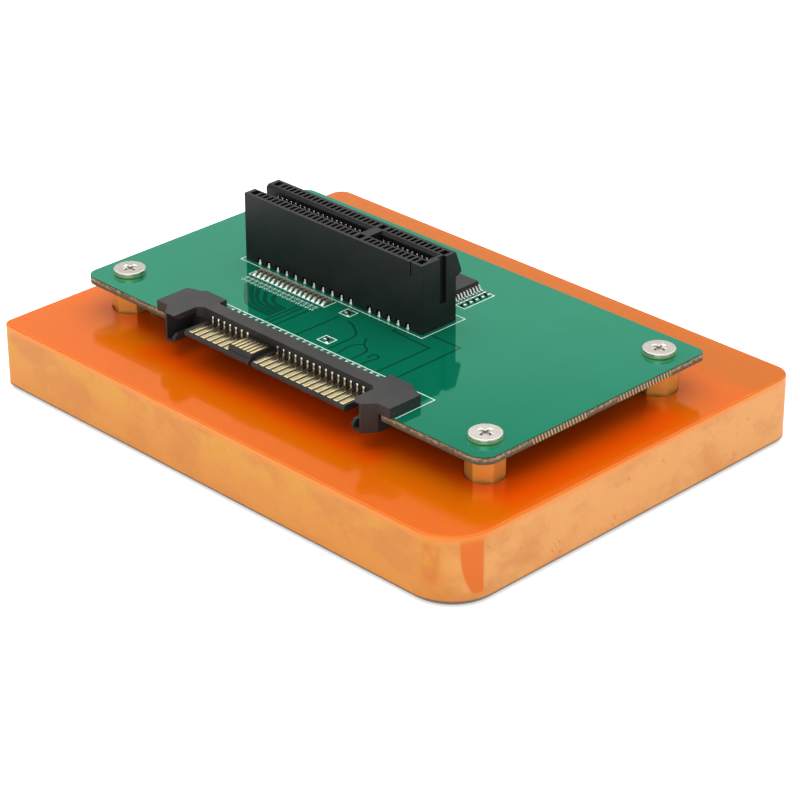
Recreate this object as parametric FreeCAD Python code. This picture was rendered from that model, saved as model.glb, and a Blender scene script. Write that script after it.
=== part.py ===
"""Adapter card on a display base: an open-ended card slot and a drive plug on one circuit board.

Units are millimetres, +Z is up.  The origin is the centre of the base plate's underside, X runs
along the drive plug and -Y is the side that the drive plug faces.  Everything on the board is
drawn in the board's own frame (origin at the middle of its top face) and moved there by on_board;
the drive plug is drawn on the board's front edge and moved by at_board_edge first.
"""
import FreeCAD, Part

import math
import os

from FreeCAD import Vector

# ---- base plate -----------------------------------------------------------------------------
BASE_MARGIN_X = 5.75         # base plate beyond the board, on average
BASE_MARGIN_Y = 12.55
BASE_THICKNESS = 10.8
BASE_TOP_BREAK = 0.2         # chamfer round the top edge
BASE_FOOT_BREAK = 0.7        # chamfer round the bottom edge
BASE_CORNER_RADII = {"front_left": 1.6, "front_right": 7.4, "back_left": 2.2, "back_right": 3.0}

# ---- circuit board --------------------------------------------------------------------------
BOARD_LENGTH = 84.0
BOARD_WIDTH = 46.2
BOARD_THICKNESS = 1.2
BOARD_CORNER_RADII = {"front_left": 2.1, "front_right": 2.8, "back_left": 2.1, "back_right": 1.3}
BOARD_SHIFT_X = -0.75
BOARD_SHIFT_Y = -0.05
BOARD_LIFT = 4.4             # free height between the base plate and the board

# ---- standoffs and screws (M3) --------------------------------------------------------------
SCREW_EDGE_X = 4.6           # screw axis to the board's short edge
SCREW_EDGE_Y = 5.1           # screw axis to the board's long edge
THREAD_DIAMETER = 3.0
THREAD_CLEARANCE = 0.1       # all round, between a thread and its bore
STANDOFF_FLATS = 5.0
STANDOFF_WEB = 0.6           # solid floor between the standoff's bore and its stud
POCKET_DEPTH = 0.6           # round pocket that each standoff stands in
POCKET_CLEARANCE = 0.1
STANDOFF_TURN = 37           # degrees, the hex's corners from the X axis
STUD_LENGTH = 5.0
STUD_TIP_CLEARANCE = 0.3
BOARD_HOLE_CLEARANCE = 0.25
SCREW_HEAD_DIAMETER = 4.9
SCREW_HEAD_HEIGHT = 0.85
RECESS_SPAN = 2.3
RECESS_FLOOR_SPAN = 1.1
RECESS_WIDTH = 0.55
RECESS_DEPTH = 0.6

# ---- card slot ------------------------------------------------------------------------------
SLOT_KEY_X = -4.55
SLOT_AXIS_Y = 1.5
SLOT_WIDTH = 7.1
SLOT_HEIGHT = 11.0
SLOT_PITCH = 1.0
SLOT_LONG_COUNT = 21         # contact pairs on the open side of the key
SLOT_SHORT_COUNT = 11
SLOT_KEY_SPAN = 3.0          # between the contacts on either side of the key
SLOT_KEY_WIDTH = 1.8
SLOT_OPEN_END = 2.6          # last contact to the open end
SLOT_CLOSED_END = 2.4        # last contact to the closed end
SLOT_END_WALL = 1.1
SLOT_GAP = 1.9               # takes the card's edge
SLOT_GAP_FLOOR = 2.6
SLOT_LEAD_IN = 0.45
CELL_LENGTH = 0.62
CELL_INNER = 1.65            # the cell's window in the top face, from the slot's middle plane
CELL_OUTER = 3.0
CELL_BAR_HEIGHT = 1.0        # the bar that closes a cell's top between its window and the gap
VOID_LENGTH = 1.1            # the wide core holes between and beyond the cells
VOID_DEPTH = 2.4
VOID_PLACES = (-27.4, -4.55, 8.2)
SLOT_CONTACT_WIDTH = 0.42
SLOT_CONTACT_THICKNESS = 0.2
SLOT_CONTACT_SIDE_GAP = 0.15
SLOT_CONTACT_REACH = 0.55    # how far the spring stands into the gap
SLOT_CONTACT_TIP_DROP = 1.15 # tip below the top of the housing
SLOT_CONTACT_TIP_TURN = 0.45 # how far the tip turns back into its cell
SLOT_CONTACT_CROWN = 0.78    # where it stands out the most
END_GROOVE_WIDTH = 1.3
END_GROOVE_DEPTH = 0.6
END_GROOVE_OFFSET = 0.85     # groove's middle behind the slot's middle plane
END_GROOVE_FLOOR = 3.6
FACE_GROOVE_FROM_END = 2.4
FACE_GROOVE_WIDTH = 0.3
FACE_GROOVE_DEPTH = 0.25
FACE_GROOVE_HEIGHT = 2.2
HOOK_LENGTH = 2.6
HOOK_REACH = 1.1
HOOK_NOSE_TOP = 3.0          # below the top of the housing
HOOK_NOSE_BOTTOM = 3.5
HOOK_ROOT = 4.0
PIN_SHIFT = 0.5              # each pin beside its contact, along the row
PIN_ROW_INSET = 0.13         # outer pin row to the housing's outer face
PIN_ROW_INNER = 1.6          # inner pin row to the slot's middle plane
PIN_HALF_WIDTH = 0.14
SOLDER_HALF_WIDTH = 0.33
SOLDER_HEIGHT = 0.8
PIN_BELOW_BOARD = 1.0
NOTCH_CLEARANCE = 0.2        # round each outer pin's solder

# ---- drive plug -----------------------------------------------------------------------------
PLUG_HEIGHT = 1.6            # top face above the board
PLUG_DEPTH_BELOW = 3.0       # underside of the arms below the board's top face
PLUG_HALF_LENGTH = 24.55
PLUG_EAR_FRONT = 0.4         # the y values count from the board's front edge, outwards
PLUG_EAR_BACK = -6.9
PLUG_BAR_FRONT = -2.9
PLUG_BAR_BACK = -5.25
PLUG_ARM_FRONT = 2.2
PLUG_ARM_INNER = 18.6
PLUG_ARM_OUTER = 22.2
PLUG_ARM_CORNER = 20.6       # where the arm's slanting front starts
PLUG_ARM_WALL = 1.9
PLUG_ARM_ROOF = 0.9
PLUG_ARM_ROOF_EDGE = 0.15     # what the roof tapers to at the front
PLUG_ARM_ROOF_TAPER = 0.9
PLUG_ARM_FLOOR = 0.45
PLUG_ARM_CAVITY_DEPTH = 5.1
PLUG_ARM_FOOT_CHAMFER = 0.6  # lower inner edge of both arms
PLUG_ARM_NOSE_CHAMFER = 0.8  # upper inner corner of the right arm's front
PLUG_NECK_CHAMFER = 0.75     # inner corner between arm and bar
PLUG_EAR_SLANT_X = 0.4       # the ear's slanting back corner
PLUG_EAR_SLANT_Y = 0.6
PLUG_EAR_SHOULDER = 0.7
PLUG_BACK_CHAMFER = 0.35     # corner between bar and ear, at the back
PLUG_EAR_INSET = 0.3         # ear's inner side beyond the tongue's end
LIP_WIDTH = 0.6              # the lip along the inner edge of each arm's floor
LIP_HEIGHT = 1.5
LIP_NOSE_CHAMFER = 0.6
PLUG_CORE_BACK = -4.3
PLUG_FIT = 0.2               # between the plug's sunk core and the board's cut-out
TONGUE_HALF_LENGTH = 16.9
TONGUE_TOP = -0.24           # above the board's top face
TONGUE_THICKNESS = 1.0
TONGUE_FRONT = 1.85
TONGUE_CHAMFER = 0.3
TONGUE_NOTCH_LENGTH = 1.3
TONGUE_NOTCH_WIDTH = 0.55
RIDGE_LEFT = -7.65           # the raised part of the tongue that carries the fine blades
RIDGE_RIGHT = -2.9
RIDGE_TOP = 0.5
RIDGE_FRONT = 1.4
RIDGE_CHAMFER = 0.35
PLUG_PITCH = 1.27
SIGNAL_COUNT = 7
POWER_COUNT = 15
SIGNAL_FIRST_X = -15.7
POWER_GAP = 6.38             # last signal contact to first power contact
FINE_COUNT = 6
FINE_PITCH = 0.8
FINE_GAP = 0.78              # last signal contact to first fine contact
FINE_WIDTH = 0.46
FINE_TIP_SETBACK = 0.1
BLADE_WIDTH = 0.84
BLADE_THICKNESS = 0.2
BLADE_PROUD = 0.06
BLADE_TIP_SETBACK = 0.35
BLADE_LEG_WIDTH = 0.42
BLADE_LEG_HEIGHT = 0.85
BLADE_SIDE_CLEARANCE = 0.04
TAIL_COUNT = 25
TAIL_FIRST_X = -16.35
TAIL_WIDTH = 0.45
TAIL_THICKNESS = 0.18
TAIL_EXIT_HEIGHT = 0.55
TAIL_BEND_REACH = 0.3        # where a tail bends down, behind the bar
TAIL_DROP_REACH = 0.7        # where it lies down on the board
TAIL_END = -7.65
TAIL_SOLDER_LENGTH = 0.35
TAIL_SOLDER_HEIGHT = 0.3

# ---- chip -----------------------------------------------------------------------------------
CHIP_X = 2.1
CHIP_Y = 12.0
CHIP_BODY_WIDTH = 4.4
CHIP_BODY_LENGTH = 6.5
CHIP_STANDOFF = 0.1
CHIP_THICKNESS = 1.2
CHIP_DRAFT = 0.12
CHIP_SPAN = 6.6
CHIP_LEADS_PER_SIDE = 10
CHIP_PITCH = 0.65
CHIP_LEAD_WIDTH = 0.3
CHIP_LEAD_THICKNESS = 0.15
CHIP_FOOT = 0.5
CHIP_SHOULDER = 0.25

# ---- small two-ended parts ------------------------------------------------------------------
CAPACITOR_COUNT = 16
CAPACITOR_PITCH = 1.0
CAPACITOR_FIRST_X = -23.3
CAPACITOR_Y = -4.15
CAPACITOR_LENGTH = 1.5
CAPACITOR_WIDTH = 0.55
CAPACITOR_HEIGHT = 0.5
RESISTOR_LENGTH = 1.1
RESISTOR_WIDTH = 0.6
RESISTOR_HEIGHT = 0.4
END_CAP_SHARE = 0.24         # of a small part's length, at each end
CHIP_RESISTOR_COUNT = 5
CHIP_RESISTOR_PITCH = 1.27
CHIP_RESISTOR_GAP = 0.75     # chip lead to the first end cap
CHIP_RESISTOR_INSET = 0.85   # first resistor to the end of the chip's body
END_CAP_PROUD = 0.03         # end cap above and below the body
LOOSE_RESISTORS = ((-3.6, -4.4), (0.6, -12.7))

# ---- worked out from the above --------------------------------------------------------------
BASE_LENGTH = BOARD_LENGTH + 2 * BASE_MARGIN_X
BASE_WIDTH = BOARD_WIDTH + 2 * BASE_MARGIN_Y
BOARD_TOP = BASE_THICKNESS + BOARD_LIFT + BOARD_THICKNESS
STANDOFF_HEIGHT = BOARD_LIFT + POCKET_DEPTH
PIN_ROW_OUTER = SLOT_WIDTH / 2 - PIN_ROW_INSET
STANDOFF_CORNERS = STANDOFF_FLATS / math.cos(math.radians(30))
BORE_RADIUS = THREAD_DIAMETER / 2 + THREAD_CLEARANCE
PLUG_CORE_BOTTOM = -PLUG_DEPTH_BELOW
ARM_FLOOR_TOP = PLUG_CORE_BOTTOM + PLUG_ARM_FLOOR
ARM_ROOF_UNDER = PLUG_HEIGHT - PLUG_ARM_ROOF
BLADE_TOP = TONGUE_TOP + BLADE_PROUD
BLADE_UNDER = BLADE_TOP - BLADE_THICKNESS
TONGUE_UNDER = TONGUE_TOP - TONGUE_THICKNESS
BLADE_TIP = TONGUE_FRONT - TONGUE_CHAMFER
LOWER_BLADE_TIP = BLADE_TIP - BLADE_TIP_SETBACK
FINE_TOP = RIDGE_TOP + BLADE_PROUD
FINE_UNDER = FINE_TOP - BLADE_THICKNESS
FINE_TIP = RIDGE_FRONT - RIDGE_CHAMFER - FINE_TIP_SETBACK
CORNERS = {                  # anticlockwise
    "back_right": (1, 1),
    "back_left": (-1, 1),
    "front_left": (-1, -1),
    "front_right": (1, -1),
}


# ---- shapes that several pieces use ---------------------------------------------------------
def box(x0, x1, y0, y1, z0, z1):
    """A box between two corners, given in any order along each axis."""
    low = Vector(min(x0, x1), min(y0, y1), min(z0, z1))
    return Part.makeBox(abs(x1 - x0), abs(y1 - y0), abs(z1 - z0), low)


def extruded(points, direction):
    """A solid from a closed outline of points, pushed along a direction."""
    wire = Part.makePolygon(points + points[:1])
    return Part.Face(wire).extrude(direction)


def plan_prism(outline, z0, z1):
    """An outline in plan, between two heights."""
    return extruded([Vector(x, y, z0) for x, y in outline], Vector(0, 0, z1 - z0))


def prism_along_x(outline, x0, x1):
    """An outline of (y, z) points, between two x values."""
    return extruded([Vector(x0, y, z) for y, z in outline], Vector(x1 - x0, 0, 0))


def prism_along_y(outline, y0, y1):
    """An outline of (x, z) points, between two y values."""
    return extruded([Vector(x, y0, z) for x, z in outline], Vector(0, y1 - y0, 0))


def ribbon(path, thickness):
    """The outline of a strip of even thickness along a path of 2-D points."""
    headings = []
    for (a0, b0), (a1, b1) in zip(path, path[1:]):
        length = math.hypot(a1 - a0, b1 - b0)
        headings.append(((a1 - a0) / length, (b1 - b0) / length))
    left, right = [], []
    for index, (a, b) in enumerate(path):
        before = headings[max(index - 1, 0)]
        after = headings[min(index, len(headings) - 1)]
        across = (-before[1] - after[1], before[0] + after[0])
        fit = across[0] * -after[1] + across[1] * after[0]
        step = thickness / 2 / fit
        left.append((a + across[0] * step, b + across[1] * step))
        right.append((a - across[0] * step, b - across[1] * step))
    return left + right[::-1]


def cylinder(radius, x, y, z0, z1):
    """An upright cylinder."""
    return Part.makeCylinder(radius, z1 - z0, Vector(x, y, z0))


def turned(profile, x, y):
    """A solid turned about an upright axis from (radius, height) points."""
    points = [Vector(r, 0, z) for r, z in profile]
    face = Part.Face(Part.makePolygon(points + points[:1]))
    solid = face.revolve(Vector(0, 0, 0), Vector(0, 0, 1), 360)
    return solid.translated(Vector(x, y, 0))


def frustum(x, y, low, low_half, high, high_half):
    """A square block that tapers between two heights, from one half width to another."""
    tall = high - low
    block = Part.makeWedge(
        -low_half, 0, -low_half, -high_half, -high_half, low_half, tall, low_half, high_half, high_half)
    upright = block.rotated(Vector(0, 0, 0), Vector(1, 0, 0), 90)
    return upright.translated(Vector(x, y, low))


def rounded_plate(length, width, z0, z1, radii):
    """A plate centred on the Z axis, with a radius for each corner by name."""
    corners = []
    for quarter, (name, (sx, sy)) in enumerate(CORNERS.items()):
        radius = radii[name]
        middle = Vector(sx * (length / 2 - radius), sy * (width / 2 - radius), z0)
        angles = [math.radians(90 * quarter + turn) for turn in (0, 45, 90)]
        corners.append([middle + Vector(math.cos(a), math.sin(a), 0) * radius for a in angles])
    edges = []
    for before, after in zip(corners[-1:] + corners[:-1], corners):
        edges.append(Part.LineSegment(before[2], after[0]).toShape())
        edges.append(Part.Arc(*after).toShape())
    return Part.Face(Part.Wire(edges)).extrude(Vector(0, 0, z1 - z0))


def on_board(shape):
    """Moves a shape from the board's frame to the part's frame."""
    return shape.translated(Vector(BOARD_SHIFT_X, BOARD_SHIFT_Y, BOARD_TOP))


def at_board_edge(shape):
    """Moves a shape from the plug's frame, on the board's front edge, to the board's frame."""
    return shape.translated(Vector(0, -BOARD_WIDTH / 2, 0))


def group(solids):
    """Several separate solids that share one node."""
    return Part.makeCompound(solids)


# ---- base, standoffs and screws -------------------------------------------------------------
def screw_places():
    """The screw axes, in the board's frame, by corner name."""
    reach_x = BOARD_LENGTH / 2 - SCREW_EDGE_X
    reach_y = BOARD_WIDTH / 2 - SCREW_EDGE_Y
    return {name: (sx * reach_x, sy * reach_y) for name, (sx, sy) in CORNERS.items()}


def base_plate():
    """A thick rounded plate with a pocket and a stud bore under each standoff."""
    plate = rounded_plate(BASE_LENGTH, BASE_WIDTH, 0, BASE_THICKNESS, BASE_CORNER_RADII)
    rim = [edge for edge in plate.Edges if edge.BoundBox.ZMin > BASE_THICKNESS - BASE_TOP_BREAK]
    plate = plate.makeChamfer(BASE_TOP_BREAK, rim)
    foot = [edge for edge in plate.Edges if edge.BoundBox.ZMax < BASE_FOOT_BREAK]
    plate = plate.makeChamfer(BASE_FOOT_BREAK, foot)
    pocket_radius = STANDOFF_CORNERS / 2 + POCKET_CLEARANCE
    pocket_floor = BASE_THICKNESS - POCKET_DEPTH
    bore_floor = pocket_floor - STUD_LENGTH - STUD_TIP_CLEARANCE
    cuts = []
    for x, y in screw_places().values():
        cuts.append(cylinder(pocket_radius, x, y, pocket_floor, BASE_THICKNESS))
        cuts.append(cylinder(BORE_RADIUS, x, y, bore_floor, pocket_floor))
    shift = Vector(BOARD_SHIFT_X, BOARD_SHIFT_Y, 0)
    return plate.cut([cut.translated(shift) for cut in cuts])


def standoff(x, y):
    """A hex standoff with a threaded bore on top and a threaded stud below."""
    top = -BOARD_THICKNESS
    foot = top - STANDOFF_HEIGHT
    corners = [math.radians(60 * step + STANDOFF_TURN) for step in range(6)]
    radius = STANDOFF_CORNERS / 2
    outline = [(x + radius * math.cos(a), y + radius * math.sin(a)) for a in corners]
    body = plan_prism(outline, foot, top)
    bore = cylinder(BORE_RADIUS, x, y, foot + STANDOFF_WEB, top)
    stud = cylinder(THREAD_DIAMETER / 2, x, y, foot - STUD_LENGTH, foot)
    return body.cut(bore).fuse(stud).removeSplitter()


def cross_recess(x, y):
    """The tapering cross that a screwdriver turns."""
    top = SCREW_HEAD_HEIGHT
    floor = top - RECESS_DEPTH
    half = RECESS_SPAN / 2
    low_half = RECESS_FLOOR_SPAN / 2
    outline = [(-half, top), (half, top), (low_half, floor), (-low_half, floor)]
    arm = prism_along_y(outline, -RECESS_WIDTH / 2, RECESS_WIDTH / 2)
    other = arm.rotated(Vector(0, 0, 0), Vector(0, 0, 1), 90)
    return arm.fuse(other).translated(Vector(x, y, 0))


def board_screw(x, y):
    """A low-headed screw that reaches down into the standoff's bore."""
    bore_depth = STANDOFF_HEIGHT - STANDOFF_WEB
    reach = BOARD_THICKNESS + bore_depth - STUD_TIP_CLEARANCE
    head_radius = SCREW_HEAD_DIAMETER / 2
    shank = THREAD_DIAMETER / 2
    profile = [
        (0, -reach),
        (shank, -reach),
        (shank, 0),
        (head_radius, 0),
        (head_radius, SCREW_HEAD_HEIGHT),
        (0, SCREW_HEAD_HEIGHT),
    ]
    return turned(profile, x, y).cut(cross_recess(x, y))


# ---- circuit board --------------------------------------------------------------------------
def circuit_board():
    """The board, open at its front edge where the plug's core sinks through it."""
    board = rounded_plate(BOARD_LENGTH, BOARD_WIDTH, -BOARD_THICKNESS, 0, BOARD_CORNER_RADII)
    opening_half = PLUG_ARM_OUTER + PLUG_FIT
    edge = -BOARD_WIDTH / 2
    opening_back = edge - PLUG_CORE_BACK + PLUG_FIT
    cuts = [box(-opening_half, opening_half, edge, opening_back, -BOARD_THICKNESS, 0)]
    hole = THREAD_DIAMETER / 2 + BOARD_HOLE_CLEARANCE
    for x, y in screw_places().values():
        cuts.append(cylinder(hole, x, y, -BOARD_THICKNESS, 0))
    return board.cut(cuts)


# ---- card slot ------------------------------------------------------------------------------
def slot_contact_places():
    """The x of each contact pair, from the open end to the closed one."""
    long_side = [SLOT_KEY_X - SLOT_KEY_SPAN / 2 - SLOT_PITCH * i for i in range(SLOT_LONG_COUNT)]
    short_side = [SLOT_KEY_X + SLOT_KEY_SPAN / 2 + SLOT_PITCH * i for i in range(SLOT_SHORT_COUNT)]
    return sorted(long_side + short_side)


def slot_ends():
    """The x of the open end and of the closed end of the housing."""
    places = slot_contact_places()
    return places[0] - SLOT_OPEN_END, places[-1] + SLOT_CLOSED_END


def pin_places():
    """The x of the outer pins and of the inner pins, which take turns along the row."""
    places = [x + PIN_SHIFT for x in slot_contact_places()]
    long_side, short_side = places[:SLOT_LONG_COUNT], places[SLOT_LONG_COUNT:]
    outer = long_side[::2] + short_side[1::2]
    inner = long_side[1::2] + short_side[::2]
    return outer, inner


def slot_gap(x0, x1):
    """The gap for the card's edge, with its sloping lead-in, between two x values."""
    half = SLOT_GAP / 2
    mouth = half + SLOT_LEAD_IN
    shoulder = SLOT_HEIGHT - SLOT_LEAD_IN
    outline = [
        (-half, SLOT_GAP_FLOOR),
        (half, SLOT_GAP_FLOOR),
        (half, shoulder),
        (mouth, SLOT_HEIGHT),
        (-mouth, SLOT_HEIGHT),
        (-half, shoulder),
    ]
    return prism_along_x(outline, x0, x1).translated(Vector(0, SLOT_AXIS_Y, 0))


def slot_cell(x):
    """One contact's cell in both walls: open to the gap, with a window in the top face."""
    bar_under = SLOT_HEIGHT - CELL_BAR_HEIGHT
    outline = [
        (-CELL_OUTER, SLOT_GAP_FLOOR),
        (CELL_OUTER, SLOT_GAP_FLOOR),
        (CELL_OUTER, SLOT_HEIGHT),
        (CELL_INNER, SLOT_HEIGHT),
        (CELL_INNER, bar_under),
        (-CELL_INNER, bar_under),
        (-CELL_INNER, SLOT_HEIGHT),
        (-CELL_OUTER, SLOT_HEIGHT),
    ]
    half = CELL_LENGTH / 2
    return prism_along_x(outline, x - half, x + half).translated(Vector(0, SLOT_AXIS_Y, 0))


def core_voids():
    """The wide blind holes in the top of both walls."""
    half = VOID_LENGTH / 2
    floor = SLOT_HEIGHT - VOID_DEPTH
    voids = []
    for x in VOID_PLACES:
        for side in (-1, 1):
            y0, y1 = SLOT_AXIS_Y + side * CELL_INNER, SLOT_AXIS_Y + side * CELL_OUTER
            voids.append(box(x - half, x + half, y0, y1, floor, SLOT_HEIGHT))
    return voids


def slot_end_cuts(closed_end):
    """The groove down the closed end's face and the short one in the front wall."""
    half = END_GROOVE_WIDTH / 2
    middle = SLOT_AXIS_Y + END_GROOVE_OFFSET
    end_groove = box(
        closed_end - END_GROOVE_DEPTH, closed_end,
        middle - half, middle + half, END_GROOVE_FLOOR, SLOT_HEIGHT)
    groove_x = closed_end - FACE_GROOVE_FROM_END
    face = SLOT_AXIS_Y - SLOT_WIDTH / 2
    face_groove = box(
        groove_x, groove_x + FACE_GROOVE_WIDTH,
        face, face + FACE_GROOVE_DEPTH, SLOT_HEIGHT - FACE_GROOVE_HEIGHT, SLOT_HEIGHT)
    return [end_groove, face_groove]


def slot_hook(closed_end):
    """The retaining hook on the back wall, beside the closed end."""
    wall = SLOT_AXIS_Y + SLOT_WIDTH / 2
    nose = wall + HOOK_REACH
    outline = [
        (wall, SLOT_HEIGHT - HOOK_ROOT),
        (nose, SLOT_HEIGHT - HOOK_NOSE_BOTTOM),
        (nose, SLOT_HEIGHT - HOOK_NOSE_TOP),
        (wall, SLOT_HEIGHT),
    ]
    return prism_along_x(outline, closed_end - HOOK_LENGTH, closed_end)


def pin_notches():
    """Room round each outer pin, cut into the foot of both walls."""
    half = SOLDER_HALF_WIDTH + NOTCH_CLEARANCE
    height = SOLDER_HEIGHT + NOTCH_CLEARANCE
    wall = SLOT_WIDTH / 2
    inner = PIN_ROW_OUTER - half
    notches = []
    for x in pin_places()[0]:
        for side in (-1, 1):
            y0, y1 = SLOT_AXIS_Y + side * inner, SLOT_AXIS_Y + side * wall
            notches.append(box(x - half, x + half, y0, y1, 0, height))
    return notches


def card_slot_housing():
    """The moulded housing: two walls of cells with the key between and a wall at one end."""
    open_end, closed_end = slot_ends()
    half = SLOT_WIDTH / 2
    body = box(open_end, closed_end, SLOT_AXIS_Y - half, SLOT_AXIS_Y + half, 0, SLOT_HEIGHT)
    key_half = SLOT_KEY_WIDTH / 2
    gaps = [
        slot_gap(open_end, SLOT_KEY_X - key_half),
        slot_gap(SLOT_KEY_X + key_half, closed_end - SLOT_END_WALL),
    ]
    cells = [slot_cell(x) for x in slot_contact_places()]
    body = body.fuse(slot_hook(closed_end))
    body = body.cut(gaps).cut(cells + core_voids())
    return body.cut(pin_notches() + slot_end_cuts(closed_end)).removeSplitter()


def slot_contact(x, side):
    """One spring: from the back of its cell out into the gap, and back at the tip."""
    back = CELL_OUTER - SLOT_CONTACT_SIDE_GAP - SLOT_CONTACT_THICKNESS / 2
    crown = SLOT_GAP / 2 - SLOT_CONTACT_REACH + SLOT_CONTACT_THICKNESS / 2
    tip_top = SLOT_HEIGHT - SLOT_CONTACT_TIP_DROP
    foot = SLOT_GAP_FLOOR + SLOT_CONTACT_THICKNESS / 2
    path = [
        (back, foot),
        (crown, foot + SLOT_CONTACT_CROWN * (tip_top - foot)),
        (crown + SLOT_CONTACT_TIP_TURN, tip_top),
    ]
    outline = [(SLOT_AXIS_Y + side * y, z) for y, z in ribbon(path, SLOT_CONTACT_THICKNESS)]
    half = SLOT_CONTACT_WIDTH / 2
    return prism_along_x(outline, x - half, x + half)


def slot_contacts(side):
    """All springs of one wall."""
    return group([slot_contact(x, side) for x in slot_contact_places()])


def top_joint(x, y):
    """Solder drawn up round a pin, on top of the board."""
    return frustum(x, y, 0, SOLDER_HALF_WIDTH, SOLDER_HEIGHT, PIN_HALF_WIDTH)


def bottom_joint(x, y):
    """Solder drawn down round a pin's end, under the board."""
    under = -BOARD_THICKNESS
    return frustum(x, y, under - PIN_BELOW_BOARD, PIN_HALF_WIDTH, under, SOLDER_HALF_WIDTH)


def slot_top_joints():
    """The outer pins' solder, beside both walls."""
    rows = (SLOT_AXIS_Y - PIN_ROW_OUTER, SLOT_AXIS_Y + PIN_ROW_OUTER)
    return group([top_joint(x, y) for y in rows for x in pin_places()[0]])


def slot_bottom_joints():
    """The solder of all four pin rows, under the board."""
    reaches = (PIN_ROW_OUTER, PIN_ROW_INNER)
    joints = []
    for reach, places in zip(reaches, pin_places()):
        for y in (SLOT_AXIS_Y - reach, SLOT_AXIS_Y + reach):
            joints += [bottom_joint(x, y) for x in places]
    return group(joints)


# ---- drive plug -----------------------------------------------------------------------------
def mirrored(half_outline):
    """An outline from its right half, listed from front to back."""
    left = [(-x, y) for x, y in reversed(half_outline)]
    return half_outline + left


def plug_top():
    """The U-shaped body on the board: a bar between two ears with forward arms."""
    ear_inner = TONGUE_HALF_LENGTH + PLUG_EAR_INSET
    ear_corner = PLUG_ARM_OUTER - PLUG_EAR_SLANT_X
    ear_side_back = PLUG_EAR_BACK + PLUG_EAR_SLANT_Y + PLUG_EAR_SHOULDER
    half = [
        (PLUG_ARM_INNER - PLUG_NECK_CHAMFER, -PLUG_BAR_FRONT),
        (PLUG_ARM_INNER, -PLUG_BAR_FRONT - PLUG_NECK_CHAMFER),
        (PLUG_ARM_INNER, -PLUG_ARM_FRONT),
        (PLUG_ARM_CORNER, -PLUG_ARM_FRONT),
        (PLUG_ARM_OUTER, -PLUG_EAR_FRONT),
        (PLUG_HALF_LENGTH, -PLUG_EAR_FRONT),
        (PLUG_HALF_LENGTH, -ear_side_back),
        (PLUG_ARM_OUTER, -PLUG_EAR_BACK - PLUG_EAR_SLANT_Y),
        (ear_corner, -PLUG_EAR_BACK),
        (ear_inner, -PLUG_EAR_BACK),
        (ear_inner, -PLUG_BAR_BACK + PLUG_BACK_CHAMFER),
        (ear_inner - PLUG_BACK_CHAMFER, -PLUG_BAR_BACK),
    ]
    return plan_prism(mirrored(half), 0, PLUG_HEIGHT)


def plug_core():
    """What sinks into the board's cut-out: the bar's root and both arms."""
    half = [
        (PLUG_ARM_INNER, -PLUG_BAR_FRONT),
        (PLUG_ARM_INNER, -PLUG_ARM_FRONT),
        (PLUG_ARM_CORNER, -PLUG_ARM_FRONT),
        (PLUG_ARM_OUTER, -PLUG_EAR_FRONT),
        (PLUG_ARM_OUTER, -PLUG_CORE_BACK),
    ]
    return plan_prism(mirrored(half), PLUG_CORE_BOTTOM, 0)


def plug_tongue():
    """The tongue that carries the contacts, chamfered along its front edge."""
    back, front = -PLUG_BAR_FRONT, -TONGUE_FRONT
    outline = [
        (back, TONGUE_TOP),
        (front + TONGUE_CHAMFER, TONGUE_TOP),
        (front, TONGUE_TOP - TONGUE_CHAMFER),
        (front, TONGUE_UNDER + TONGUE_CHAMFER),
        (front + TONGUE_CHAMFER, TONGUE_UNDER),
        (back, TONGUE_UNDER),
    ]
    return prism_along_x(outline, -TONGUE_HALF_LENGTH, TONGUE_HALF_LENGTH)


def plug_ridge():
    """The raised part of the tongue, chamfered along its front edge."""
    back, front = -PLUG_BAR_FRONT, -RIDGE_FRONT
    outline = [
        (back, TONGUE_TOP),
        (front, TONGUE_TOP),
        (front, RIDGE_TOP - RIDGE_CHAMFER),
        (front + RIDGE_CHAMFER, RIDGE_TOP),
        (back, RIDGE_TOP),
    ]
    return prism_along_x(outline, RIDGE_LEFT, RIDGE_RIGHT)


def tongue_notch():
    """The notch in the tongue's front edge, beside the raised part."""
    right = RIDGE_RIGHT + TONGUE_NOTCH_WIDTH
    back = TONGUE_NOTCH_LENGTH - TONGUE_FRONT
    return box(RIDGE_RIGHT, right, -TONGUE_FRONT, back, TONGUE_UNDER, TONGUE_TOP)


def arm_cavity(side):
    """The channel in one arm, open to the front and to the tongue, under a tapering roof."""
    front = -PLUG_ARM_FRONT
    back = front + PLUG_ARM_CAVITY_DEPTH
    outline = [
        (front, ARM_FLOOR_TOP),
        (back, ARM_FLOOR_TOP),
        (back, ARM_ROOF_UNDER),
        (front + PLUG_ARM_ROOF_TAPER, ARM_ROOF_UNDER),
        (front, PLUG_HEIGHT - PLUG_ARM_ROOF_EDGE),
    ]
    return prism_along_x(outline, side * PLUG_ARM_INNER, side * (PLUG_ARM_OUTER - PLUG_ARM_WALL))


def arm_lip(side):
    """The upright lip along the inner edge of one arm's floor."""
    front, top = -PLUG_ARM_FRONT, PLUG_CORE_BOTTOM + LIP_HEIGHT
    outline = [
        (front, ARM_FLOOR_TOP),
        (-PLUG_BAR_FRONT, ARM_FLOOR_TOP),
        (-PLUG_BAR_FRONT, top),
        (front + LIP_NOSE_CHAMFER, top),
        (front, top - LIP_NOSE_CHAMFER),
    ]
    return prism_along_x(outline, side * PLUG_ARM_INNER, side * (PLUG_ARM_INNER + LIP_WIDTH))


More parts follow.
